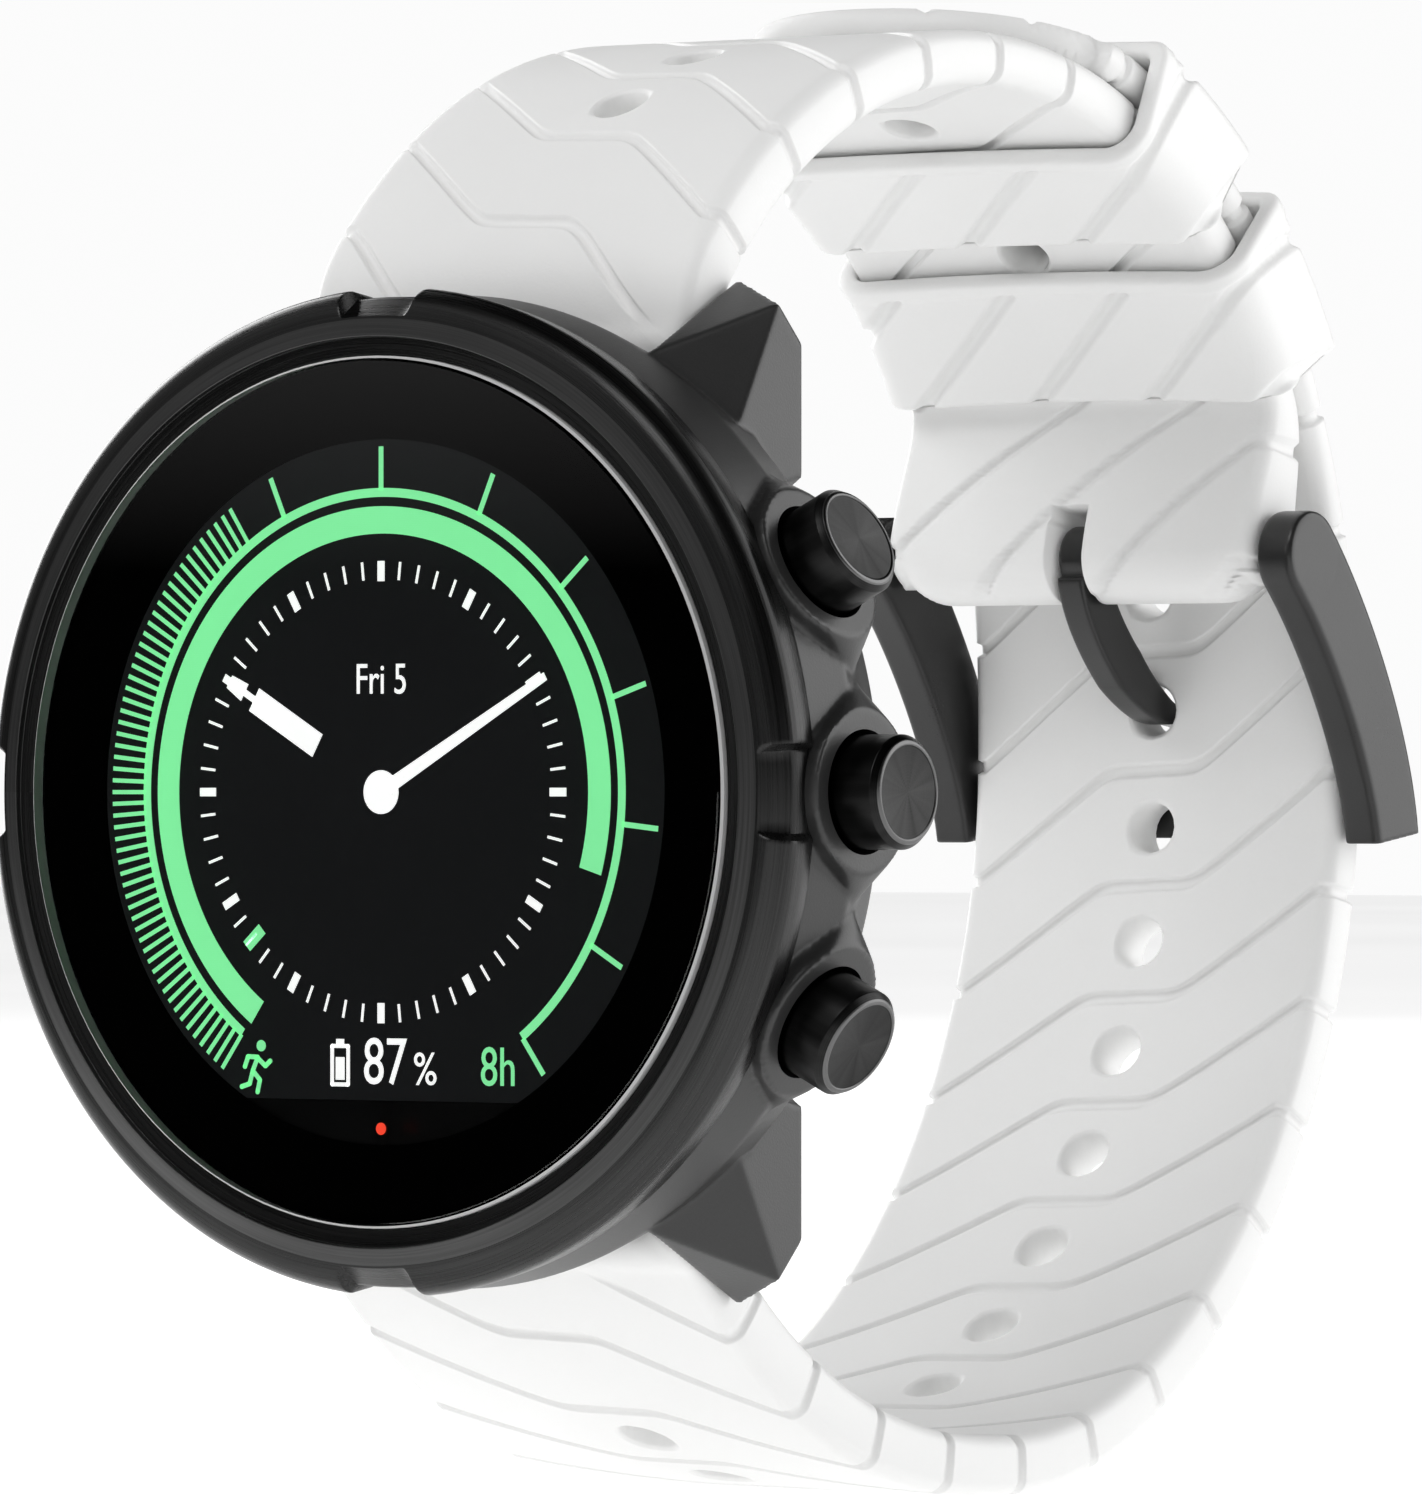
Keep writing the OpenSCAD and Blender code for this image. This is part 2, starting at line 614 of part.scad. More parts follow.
// --- Buckle ---
module buckle_frame() {
  color("#26282b") difference() {
    union() {
      for (s = [0, 1]) mirror([s, 0, 0]) translate([frame_x + arm_w / 2, 0, 0]) {
        across(arm_w) polygon(outline(arm_run));
        rod_across(buckle_c, arm_t[0] / 2, arm_w);
      }
      across(2 * (frame_x + arm_w)) translate(crossbar_c) square(crossbar, center = true);
    }
    rod_across(buckle_c, bar_d / 2, 2 * (frame_x + arm_w) + 2);
  }
}

module buckle_bar() {
  color("#8d9094") rod_across(buckle_c, bar_d / 2, 2 * (frame_x + arm_w) - 0.4);
}

module buckle_tang() {
  color("#26282b") difference() {
    union() {
      across(tang_w) polygon(outline(tang_run));
      rod_across(buckle_c, tang_ring_r, tang_w);
      rod_across(tang_tip, tang_t / 2, tang_w);
    }
    rod_across(buckle_c, bar_d / 2 + fit, tang_w + 2);
  }
}

case_middle();
bezel();
crystal();
crystal_gasket();
display_panel();
backlight_plate();
display_flex();
inner_frame();
main_board();
board_shields();
button_switches();
pressure_sensor();
gps_antenna();
battery();
vibration_motor();
buzzer();
case_back();
case_back_gasket();
case_back_screws();
sensor_window();
sensor_board();
sensor_leds();
charging_contacts();
button_upper();
button_middle();
button_lower();
button_spring(0);  // button_spring_upper
button_spring(1);  // button_spring_middle
button_spring(2);  // button_spring_lower
button_bush(0);  // button_bush_upper
button_bush(1);  // button_bush_middle
button_bush(2);  // button_bush_lower
button_seal(0);  // button_seal_upper
button_seal(1);  // button_seal_middle
button_seal(2);  // button_seal_lower
button_clip(0);  // button_clip_upper
button_clip(1);  // button_clip_middle
button_clip(2);  // button_clip_lower
spring_bar(1);  // spring_bar_upper
spring_bar(-1);  // spring_bar_lower
strap_short();
strap_long();
keeper(0);  // keeper_upper
keeper(1);  // keeper_lower
buckle_frame();
buckle_bar();
buckle_tang();
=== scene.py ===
import math

import bmesh
import bpy
import numpy as np
from mathutils import Matrix, Vector


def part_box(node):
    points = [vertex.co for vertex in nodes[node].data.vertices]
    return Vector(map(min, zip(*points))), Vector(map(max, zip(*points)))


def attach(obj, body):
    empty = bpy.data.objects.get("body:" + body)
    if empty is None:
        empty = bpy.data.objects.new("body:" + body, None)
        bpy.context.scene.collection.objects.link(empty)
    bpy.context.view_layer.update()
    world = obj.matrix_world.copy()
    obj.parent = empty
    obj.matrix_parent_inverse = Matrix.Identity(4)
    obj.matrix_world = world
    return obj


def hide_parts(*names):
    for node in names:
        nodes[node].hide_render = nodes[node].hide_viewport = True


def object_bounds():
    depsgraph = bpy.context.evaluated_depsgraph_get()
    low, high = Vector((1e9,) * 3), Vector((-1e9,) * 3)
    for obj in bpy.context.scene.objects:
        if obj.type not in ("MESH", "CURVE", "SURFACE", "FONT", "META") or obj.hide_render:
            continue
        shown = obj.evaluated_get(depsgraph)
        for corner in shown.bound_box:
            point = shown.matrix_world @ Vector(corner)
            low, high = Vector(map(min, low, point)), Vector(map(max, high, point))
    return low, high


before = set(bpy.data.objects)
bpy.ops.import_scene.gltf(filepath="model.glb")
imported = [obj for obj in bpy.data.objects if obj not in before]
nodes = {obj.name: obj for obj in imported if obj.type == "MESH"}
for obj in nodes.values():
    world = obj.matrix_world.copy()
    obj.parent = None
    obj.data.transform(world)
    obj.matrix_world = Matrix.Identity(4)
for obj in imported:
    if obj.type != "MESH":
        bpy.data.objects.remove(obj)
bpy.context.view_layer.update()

# --------------------------------------------------
# Case middle. One dark glass-filled polyamide moulding: a ring that is widest at the height
# of the buttons, four faceted lugs and three button bosses that run out into soft points.
# Lengths are in millimetres; the case is drawn lying on its back, x to 3 o'clock, y to 12.
# --------------------------------------------------
MM = 0.001
ON_SKIN = Matrix.Rotation(math.radians(90), 4, "X")


def outline(corners, radius, steps=4):
    """A closed outline with rounded corners; a corner may carry its own radius as a third number."""
    made = []
    for k, corner in enumerate(corners):
        here = np.array(corner[:2], float)
        back = np.array(corners[k - 1][:2], float) - here
        on = np.array(corners[(k + 1) % len(corners)][:2], float) - here
        own = corner[2] if len(corner) > 2 else radius
        cut = min(own, 0.45 * np.linalg.norm(back), 0.45 * np.linalg.norm(on))
        if cut < 0.001:
            made.append(here)
            continue
        start = here + back / np.linalg.norm(back) * cut
        end = here + on / np.linalg.norm(on) * cut
        for t in np.linspace(0, 1, steps + 1):
            made.append((1 - t) ** 2 * start + 2 * t * (1 - t) * here + t ** 2 * end)
    return np.array(made)


def skin(rows, n, base=0, closed=False):
    """Faces between rows of n points, each row a ring; closed joins the last row to the first."""
    faces = []
    for i in range(rows if closed else rows - 1):
        one, two = base + i * n, base + (i + 1) % rows * n
        faces += [(one + j, two + j, two + (j + 1) % n, one + (j + 1) % n) for j in range(n)]
    return faces


def turned(profile, count):
    """Points and faces of a profile [radius, height] turned about the z axis."""
    turns = np.radians(np.linspace(0, 360, count, endpoint=False))
    r, h = np.array(profile, float).T
    points = np.stack([np.outer(np.cos(turns), r), np.outer(np.sin(turns), r),
                       np.tile(h, (count, 1))], -1).reshape(-1, 3)
    return points, skin(count, len(r), closed=True)


def put(name, data):
    """A new object of that data, in the scene."""
    made = bpy.data.objects.new(name, data)
    bpy.context.scene.collection.objects.link(made)
    return made


def piece(name, points, faces, place=Matrix.Identity(4), crease=None):
    """A mesh object from points in millimetres, with clean outward faces."""
    mesh = bpy.data.meshes.new(name)
    mesh.from_pydata((np.array(points, float) * MM).tolist(), [], faces)
    work = bmesh.new()
    work.from_mesh(mesh)
    bmesh.ops.remove_doubles(work, verts=work.verts, dist=0.003 * MM)
    bmesh.ops.dissolve_degenerate(work, edges=work.edges, dist=0.001 * MM)
    bmesh.ops.recalc_face_normals(work, faces=work.faces)
    work.to_mesh(mesh)
    work.free()
    mesh.shade_smooth()
    if crease:
        mesh.set_sharp_from_angle(angle=math.radians(crease))
    made = put(name, mesh)
    made.matrix_world = place
    return made


def settle(obj):
    """Makes the piece's modifiers part of its mesh."""
    graph = bpy.context.evaluated_depsgraph_get()
    mesh = bpy.data.meshes.new_from_object(obj.evaluated_get(graph))
    obj.modifiers.clear()
    obj.data = mesh
    return obj


def fused(obj, grain, passes):
    """Grows overlapping solids into one skin with soft fillets, as a mould leaves it."""
    remesh = obj.modifiers.new("skin", "REMESH")
    remesh.mode = "VOXEL"
    remesh.voxel_size = grain * MM
    soft = obj.modifiers.new("soft", "SMOOTH")
    soft.iterations = passes
    settle(obj)
    obj.data.shade_smooth()
    return obj


def cut(obj, cutter):
    """Takes the cutter's solid out of the piece."""
    knife = obj.modifiers.new("cut", "BOOLEAN")
    knife.operation = "DIFFERENCE"
    knife.object = cutter
    settle(obj)
    bpy.data.objects.remove(cutter)
    return obj


def joined(parts):
    """Several (points, faces) as one."""
    points, faces, base = [], [], 0
    for some, around in parts:
        points.append(np.array(some, float))
        faces += [tuple(base + i for i in face) for face in around]
        base += len(some)
    return np.concatenate(points), faces


def hull(corners):
    """Points and faces of the convex solid round some corners."""
    work = bmesh.new()
    for corner in corners:
        work.verts.new(corner)
    bmesh.ops.convex_hull(work, input=work.verts)
    bmesh.ops.delete(work, geom=[v for v in work.verts if not v.link_faces], context="VERTS")
    work.verts.index_update()
    made = [tuple(v.co) for v in work.verts], [tuple(v.index for v in f.verts) for f in work.faces]
    work.free()
    return made


def block(low, high):
    """Points and faces of a box."""
    return hull([(x, y, z) for x in (low[0], high[0]) for y in (low[1], high[1])
                 for z in (low[2], high[2])])


case_top = -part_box("crystal")[0].y / MM
bezel_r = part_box("bezel")[1].x / MM
button_h = case_top - 6.8
boss_r = 4.05
boss_face = 25.15
recess_r = 3.05
button_turns = {"upper": 26.4, "middle": 0.0, "lower": -26.4}
pocket_half, pocket_from, pocket_high = 12.1, 19.75, 7.2


def turned_to(points, degrees):
    """Points of a button part, drawn along its own axis, moved to its place round the case."""
    x, y, along = np.array(points, float).T
    a = math.radians(degrees)
    return np.stack([along * math.cos(a) + y * -math.sin(a),
                     along * math.sin(a) + y * math.cos(a), button_h - x], -1)


case_ring = turned(outline([
    (18.3, 3.2), (19.0, 3.2), (19.0, 2.6), (bezel_r - 4.8, 2.6), (bezel_r - 2.8, 4.4),
    (bezel_r - 1.0, 7.0), (bezel_r - 0.2, button_h), (bezel_r - 0.6, 13.35),
    (bezel_r - 2.5, 13.4), (bezel_r - 2.5, 14.5), (18.8, 14.5), (18.8, 7.6), (18.3, 7.6)], 0.0), 240)
ring = piece("case_ring_work", *case_ring)
for side in (1, -1):
    low, high = sorted((side * pocket_from, side * 30))
    cut(ring, piece("pocket_work", *block((-pocket_half, low, 0), (pocket_half, high, pocket_high))))
ring_points = np.array([v.co for v in ring.data.vertices]) / MM
ring_faces = [tuple(f.vertices) for f in ring.data.polygons]
bpy.data.objects.remove(ring)

lug = [(12.1, 21.5, 10.1), (12.4, 25.4, 2.75), (16.2, 24.06, 4.65), (16.2, 18.0, 8.0),
       (16.2, 22.1, 2.65), (16.2, 15.55, 2.65), (16.2, 15.2, 4.4), (12.1, 25.35, 2.6),
       (12.1, 13.0, 2.7), (12.1, 13.0, 10.0), (14.0, 14.0, 2.7)]
lugs = [hull([(sx * x, sy * y, h) for x, y, h in lug]) for sx in (1, -1) for sy in (1, -1)]

bosses = []
for degrees in button_turns.values():
    circle = [(math.cos(t), math.sin(t)) for t in np.radians(np.arange(0, 360, 7.5))]
    rim = [(boss_r * x, boss_r * y, boss_face) for x, y in circle]
    waist = [(boss_r * 1.01 * x, boss_r * 1.01 * y, 23.9) for x, y in circle]
    horns = [(0.9, 5.6, 23.7), (0.9, -5.6, 23.7)]
    foot = [(boss_r * 0.9 * x, boss_r * 0.9 * y, 20.0) for x, y in circle]
    corners, faces = hull(rim + waist + horns + foot)
    bosses.append((turned_to(corners, degrees), faces))

case_middle = piece("case_middle_body", *joined([(ring_points, ring_faces)] + lugs + bosses))
fused(case_middle, 0.16, 4)
for degrees in button_turns.values():
    corners, faces = turned([(0, 21.0), (recess_r, 21.0), (recess_r, 30.0), (0, 30.0)], 96)
    cut(case_middle, piece("recess_work", turned_to(corners, degrees), faces))
case_middle.matrix_world = ON_SKIN
case_middle.data.set_sharp_from_angle(angle=math.radians(50))
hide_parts("case_middle")
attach(case_middle, "case")


class Wire:
    """A socket of a material's nodes; sums and products of wires and numbers add Math nodes."""

    def __init__(self, tree, socket=None):
        self.tree, self.socket = tree, socket

    def node(self, kind, settings=(), inputs=(), out=0):
        """Adds a node: its settings first, then values or wires for its sockets; gives one output."""
        made = self.tree.nodes.new("ShaderNode" + kind)
        for name, value in dict(settings).items():
            if name == "stops":
                ramp = made.color_ramp.elements
                while len(ramp) < len(value):
                    ramp.new(1.0)
                for stop, (place, colour) in zip(ramp, value):
                    stop.position, stop.color = place, grey(colour)
            else:
                setattr(made, name, value)
        for name, value in dict(inputs).items():
            if isinstance(value, Wire):
                self.tree.links.new(value.socket, made.inputs[name])
            else:
                made.inputs[name].default_value = value
        return Wire(self.tree, made.outputs[out])

    def maths(self, operation, *values):
        return self.node("Math", {"operation": operation}, dict(enumerate(values)))

    def __add__(self, other):
        return self.maths("ADD", self, other)

    def __sub__(self, other):
        return self.maths("SUBTRACT", self, other)

    def __rsub__(self, other):
        return self.maths("SUBTRACT", other, self)

    def __mul__(self, other):
        return self.maths("MULTIPLY", self, other)

    __radd__, __rmul__ = __add__, __mul__

    def axes(self):
        """The x, y and z of this point."""
        return (self.node("SeparateXYZ", {}, {0: self}, k) for k in range(3))

    def off_axis(self, other):
        """How far off the axis a point with these two coordinates is."""
        return self.maths("SQRT", self * self + other * other)

    def ramp(self, *stops):
        """A smooth change of colour along this value."""
        return self.node("ValToRGB", {"stops": stops}, {0: self})

    def blend(self, low, high):
        """Goes from one colour to another as this value goes from 0 to 1."""
        return self.node("Mix", {"data_type": "RGBA"}, {0: self, 6: grey(low), 7: grey(high)}, 2)

    def noise(self, scale, detail=2.0, stretch=(1, 1, 1), roughness=0.5):
        """Cloudy noise with about that many waves a metre on this point."""
        place = self.node("VectorMath", {"operation": "MULTIPLY"}, {0: self, 1: stretch})
        return self.node("TexNoise", {}, {"Vector": place, "Scale": scale, "Detail": detail,
                                          "Roughness": roughness}, "Fac")


def surfaced(owner, wire, output="Material Output"):
    """Makes that shader the surface of a material or the world."""
    owner.node_tree.links.new(wire.socket, owner.node_tree.nodes[output].inputs["Surface"])


def grey(value):
    """A colour as four numbers; a single number is a grey."""
    if isinstance(value, Wire):
        return value
    return (value,) * 3 + (1,) if isinstance(value, (int, float)) else tuple(value) + (1,)


def finish(name, parts, recipe, **fixed):
    """A finish for some pieces. recipe(p) gives its varying sockets, and a height for the bump."""
    made = bpy.data.materials.new(name)
    made.use_nodes = True
    tree = made.node_tree
    surface = tree.nodes["Principled BSDF"]
    for socket, value in fixed.items():
        surface.inputs[socket.replace("_", " ")].default_value = value
    point = Wire(tree).node("TexCoord", {}, {}, "Object")
    sockets = recipe(point)
    relief = sockets.pop("relief", None)
    if relief:
        height, deep = relief
        sockets["Normal"] = point.node("Bump", {}, {"Height": height, "Distance": deep * MM})
    for socket, value in sockets.items():
        tree.links.new(value.socket, surface.inputs[socket])
    for obj in parts:
        obj.data.materials.clear()
        obj.data.materials.append(made)
    return made


def polyamide(p):
    grain = p.noise(9000, 3)
    patch = p.noise(120, 2)
    return {"Base Color": (patch * 0.6 + grain * 0.4).ramp((0.3, 0.020), (0.7, 0.029)),
            "Roughness": patch * 0.08 + grain * 0.08 + 0.28,
            "relief": (grain, 0.008)}


finish("glass_filled_polyamide", [case_middle], polyamide)

# --------------------------------------------------
# Bezel. Black-coated steel, turned and circular-brushed, with a lighter polished chamfer
# round the glass and four flats cut into its rim at 12, 3, 6 and 9. It clips over the case.
# --------------------------------------------------
chamfer_r = bezel_r - 1.6
bezel_profile = outline([
    (19.6, 14.55, 0), (19.6, 15.5, 0), (21.56, 15.5, 0), (21.56, 16.35), (22.45, 16.40),
    (22.45, case_top, 0.12), (chamfer_r, case_top - 0.3, 0.25)] + [
    (chamfer_r + 1.6 * math.sin(t), case_top - 1.8 + 1.5 * math.cos(t), 0)
    for t in np.radians(np.arange(12, 91, 6))] + [
    (bezel_r - 0.25, 13.4, 0.12), (22.6, 13.4, 0), (22.6, 14.55, 0)], 0.06, 3)
notch_half = math.degrees(2.2 / bezel_r)
flat_r, flat_from, flat_slope = bezel_r - 0.4, 14.9, 0.66
stretch_ends = (-45, -notch_half - 1.1, -notch_half + 0.6, notch_half - 0.6, notch_half + 1.1, 45)
notch_turns = np.concatenate([
    np.linspace(start, end, count)[:-1]
    for start, end, count in zip(stretch_ends, stretch_ends[1:], (26, 8, 9, 8, 26))])
points = []
for quarter in range(4):
    for turn in notch_turns:
        flat = np.clip((notch_half + 0.4 - abs(turn)) / 0.8, 0, 1)
        a = math.radians(turn + 90 * quarter)
        for r, h in bezel_profile:
            face = flat_r - max(0, (h - flat_from) * flat_slope)
            r = r - flat * max(0, r - face)
            points.append((r * math.cos(a), r * math.sin(a), h))
faces = skin(4 * len(notch_turns), len(bezel_profile), closed=True)
bezel = piece("bezel_ring", points, faces, ON_SKIN, 32)
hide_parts("bezel")
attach(bezel, "case")


def ring_place(p):
    """The point as [angle times 20 mm, radius, height], for lines that run round the dial."""
    x, y, z = p.axes()
    radius = x.off_axis(y)
    return p.node("CombineXYZ", {}, {0: p.maths("ARCTAN2", y, x) * 0.02, 1: radius, 2: z}), radius


def brushed_black(p):
    around, radius = ring_place(p)
    line = around.noise(9000, 3, (0.012, 1, 1), 0.65)
    streak = around.noise(700, 2, (0.05, 1, 1))
    cloud = p.noise(60, 2)
    edge = p.maths("LESS_THAN", radius, (chamfer_r + 0.05) * MM)
    front = edge * p.maths("GREATER_THAN", radius, 22.43 * MM)
    tone = line * 0.35 + streak * 0.45 + cloud * 0.2
    return {"Base Color": front.blend(tone.ramp((0.3, 0.012), (0.75, 0.062)),
                                      tone.ramp((0.3, 0.03), (0.7, 0.11))),
            "Roughness": line * 0.16 + front * 0.06 + 0.20,
            "relief": (line, 0.008)}


finish("brushed_black_steel", [bezel], brushed_black, Metallic=0.9, Anisotropic=0.6)

# --------------------------------------------------
# Crystal and its seal. A flat mineral glass with a painted highlight round its edge, a pale matte
# ring, pressed on a black rubber gasket in the bezel. Both keep the shape of the frame's parts
# and get their own finish.
# --------------------------------------------------
def rubber(p):
    grain = p.noise(14000, 3)
    return {"Base Color": p.noise(400).ramp((0.3, 0.008), (0.7, 0.016)),
            "Roughness": grain * 0.12 + 0.52, "relief": (grain, 0.003)}


def three(kind):
    """The names of that part of all three buttons."""
    return ["button_%s_%s" % (kind, which) for which in button_turns]


finish("seal_rubber", [nodes[name] for name in ["crystal_gasket", "case_back_gasket"] + three("seal")],
       rubber)

glass = bpy.data.materials.new("crystal_glass")
glass.use_nodes = True
air = Wire(glass.node_tree)
clear = air.node("BsdfTransparent", {}, {"Color": grey(0.97)})
gloss = air.node("BsdfGlossy", {}, {"Color": grey(1.0), "Roughness": 0.015})
shine = air.node("Fresnel", {}, {"IOR": 1.5})
place = air.node("TexCoord", {}, {}, "Object")
x, y, z = place.axes()
front = air.maths("LESS_THAN", y, (0.05 - case_top) * MM)
facing = air.node("MixShader", {}, {0: shine * front, 1: clear, 2: gloss})
# painted highlight: past 21.38 mm the glass turns into a pale matte grey band, which stands in for the
# bright line of light along the glass's edge chamfer
rim = air.maths("GREATER_THAN", x.off_axis(z), 21.38 * MM) * 0.8
painted_edge_glint = air.node("BsdfDiffuse", {}, {"Color": grey(0.7)})
whole = air.node("MixShader", {}, {0: rim, 1: facing, 2: painted_edge_glint})
surfaced(glass, whole)
nodes["crystal"].data.materials.clear()
nodes["crystal"].data.materials.append(glass)

# --------------------------------------------------
# Watch face. What the lit display shows, as thin layers just under the glass: a grey disc,
# green progress rings with their ticks, white minute marks, hands and figures, a red dot.
# --------------------------------------------------
glass_back = -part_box("crystal")[1].y / MM
layer_h = glass_back - 0.07
layer_t = 0.04
border_lift = 0.075
cell_waves = 2 * math.pi / 0.00009


def plate(corners, height=layer_h, thick=layer_t):
    """Points and faces of a thin plate with that outline [x, y]."""
    n = len(corners)
    points = [(x, y, h) for h in (height, height + thick) for x, y in corners]
    faces = [tuple(range(n))[::-1], tuple(range(n, 2 * n))]
    return points, faces + [(i, (i + 1) % n, n + (i + 1) % n, n + i) for i in range(n)]


def clock(radius, degrees):
    """The point at that radius, degrees clockwise from 12."""
    return radius * math.sin(math.radians(degrees)), radius * math.cos(math.radians(degrees))


def band(inner, outer, start, end):
    """A piece of a ring, as a strip of quads on both sides."""
    turns = np.linspace(start, end, max(2, int(abs(end - start) / 1.5)) + 1)
    return joined([plate([clock(inner, a), clock(outer, a), clock(outer, b), clock(inner, b)])
                   for a, b in zip(turns[:-1], turns[1:])])


def bar(width, degrees, low, high, tip=None):
    """A straight mark along a radius of the dial."""
    tip = width if tip is None else tip
    c, s = math.cos(math.radians(degrees)), math.sin(math.radians(degrees))
    flat = [(-width / 2, low), (width / 2, low), (tip / 2, high), (-tip / 2, high)]
    return plate([(x * c + y * s, -x * s + y * c) for x, y in flat])


def stroke(width, *corners):
    """A line of that width through some points, with round joints."""
    made = []
    for (x0, y0), (x1, y1) in zip(corners[:-1], corners[1:]):
        long = math.hypot(x1 - x0, y1 - y0)
        nx, ny = -(y1 - y0) / long * width / 2, (x1 - x0) / long * width / 2
        made.append(plate([(x0 + nx, y0 + ny), (x0 - nx, y0 - ny), (x1 - nx, y1 - ny),
                           (x1 + nx, y1 + ny)]))
    for x, y in corners:
        made.append(spot(x, y, width / 2))
    return joined(made)


def spot(x, y, radius, sides=24):
    """A round dot."""
    turns = np.arange(sides) * 2 * math.pi / sides
    return plate([(x + radius * math.cos(t), y + radius * math.sin(t)) for t in turns])


def lettering(text, size, x, y, narrow=0.82):
    """Plain figures or letters, as a thin plate."""
    curve = bpy.data.curves.new("lettering", "FONT")
    curve.body, curve.size, curve.resolution_u = text, size, 4
    curve.align_x, curve.align_y = "CENTER", "CENTER"
    curve.extrude = layer_t / 2
    work = put("lettering", curve)
    graph = bpy.context.evaluated_depsgraph_get()
    mesh = bpy.data.meshes.new_from_object(work.evaluated_get(graph))
    points = [(v.co.x * narrow + x, v.co.y + y, v.co.z + layer_h + layer_t / 2)
              for v in mesh.vertices]
    bpy.data.objects.remove(work)
    return points, [tuple(f.vertices) for f in mesh.polygons]


def layer(name, shapes, colour, strength, base=0.0):
    """A lit layer of the face, with the fine rows and columns of its cells; base lifts it."""
    def cells(p):
        x, y, _ = p.axes()
        row = p.maths("SINE", y * cell_waves)
        column = p.maths("SINE", x * cell_waves)
        tone = row * 0.02 + column * 0.02 + p.noise(300) * 0.06 + 0.93
        shade = tone.blend(0.0, colour)
        return {"Base Color": shade, "Emission Color": shade}

    points, faces = joined(shapes)
    made = piece(name, points + [0, 0, base], faces, ON_SKIN)
    made.data.shade_flat()
    finish(name, [made], cells, Emission_Strength=strength, Roughness=0.5, Specular_IOR_Level=0.0)
    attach(made, "case")


window_r = 17.4
flat_y = -15.2
half_flat = math.degrees(math.acos(-flat_y / window_r))
disc = [clock(window_r, a) for a in np.linspace(-180 + half_flat, 180 - half_flat, 160)]
layer("dial_ground", [plate(disc)], (0.010, 0.0105, 0.011), 0.55, -0.012 - layer_t)

green = [band(12.75, 14.1, -144.7, 106.7), band(14.56, 15.0, -144, 144)]
green += [bar(0.27, a, 14.9, 17.05) for a in (-24, 0, 24, 48, 72, 96, 120, 144)]
green += [bar(0.21, a, 14.9, 17.0) for a in np.linspace(-34, -144, 56)]
green += [bar(0.62, -132.3, 10.1, 11.4)]
green += [lettering("8h", 2.75, 7.25, -13.55)]
runner_x, runner_y = -7.8, -13.55
runner = [[(0.05, 0.35), (-0.25, -0.3), (0.2, -0.75), (0.05, -1.35)],
          [(-0.25, -0.3), (-0.45, -0.95), (-0.95, -1.1)],
          [(0.1, 0.3), (0.55, -0.05), (0.85, 0.2)], [(0.05, 0.38), (-0.55, 0.4), (-0.75, -0.1)]]
for line in runner:
    green.append(stroke(0.24, *[(runner_x + x, runner_y + y) for x, y in line]))
green.append(spot(runner_x + 0.28, runner_y + 0.95, 0.28))
layer("dial_green", green, (0.195, 0.70, 0.305), 0.95)

white = [bar(0.42, a, 10.4, 11.4) for a in range(0, 360, 30)]
white += [bar(0.13, a, 10.5, 11.4) for a in range(0, 360, 6) if a % 30]
white += [spot(0, 0, 1.08, 48), bar(0.72, 60.8, 0.5, 11.6, 0.42)]
hour = -60
white += [bar(1.28, hour, 4.6, 9.2), bar(0.34, hour, 9.1, 10.0), bar(0.95, hour, 9.9, 11.0, 0.7)]
white += [lettering("Fri 5", 2.15, 0, 5.5), lettering("87", 3.3, 0.25, -13.4, 0.84),
          lettering("%", 2.3, 2.75, -13.7, 0.95)]
cell_x, cell_y = -2.55, -13.4
white.append(stroke(0.2, *[(cell_x + x, cell_y + y) for x, y in (
    (-0.5, -1.05), (0.5, -1.05), (0.5, 0.85), (-0.5, 0.85), (-0.5, -1.05))]))
for half, low, high in ((0.27, -0.82, 0.3), (0.24, 0.9, 1.2)):
    white.append(plate([(cell_x + x, cell_y + y) for x, y in
                        ((-half, low), (half, low), (half, high), (-half, high))]))
layer("dial_white", white, (0.86, 0.87, 0.86), 0.95)
layer("dial_border", [band(17.42, 21.36, 0, 360)], 0.001, 0.0, border_lift)
layer("dial_dot", [spot(0, -16.6, 0.3)], (0.85, 0.06, 0.03), 0.9)

# --------------------------------------------------
# Works. The display stack, the moulded inner frame, the board with its cans and switches,
# the battery in its foil, motor, buzzer and antenna. Each keeps its shape from the frame.
# --------------------------------------------------
def display_glass(p):
    x, _, z = p.axes()
    weave = p.maths("SINE", x * 70000) * 0.5 + p.maths("SINE", z * 70000) * 0.5
    return {"Base Color": (weave * 0.5 + 0.5).ramp((0, 0.0025), (1, 0.005)),
            "Roughness": p.noise(300) * 0.1 + 0.12}


def diffuser(p):
    dots = p.node("TexVoronoi", {}, {"Vector": p, "Scale": 2500.0}, "Distance")
    return {"Base Color": dots.ramp((0.1, 0.62), (0.5, 0.8)), "Roughness": dots * 0.3 + 0.35,
            "relief": (dots, 0.02)}


def film(p):
    x, _, _ = p.axes()
    track = p.maths("GREATER_THAN", p.maths("SINE", x * 9000), 0.2)
    return {"Base Color": track.blend((0.42, 0.16, 0.03), (0.55, 0.27, 0.08)),
            "Roughness": track * -0.12 + 0.42, "relief": (track, 0.03)}


def black_plastic(p):
    grain = p.noise(11000, 4)
    return {"Base Color": p.noise(200).ramp((0.3, 0.014), (0.7, 0.028)),
            "Roughness": grain * 0.2 + 0.4, "relief": (grain, 0.02)}


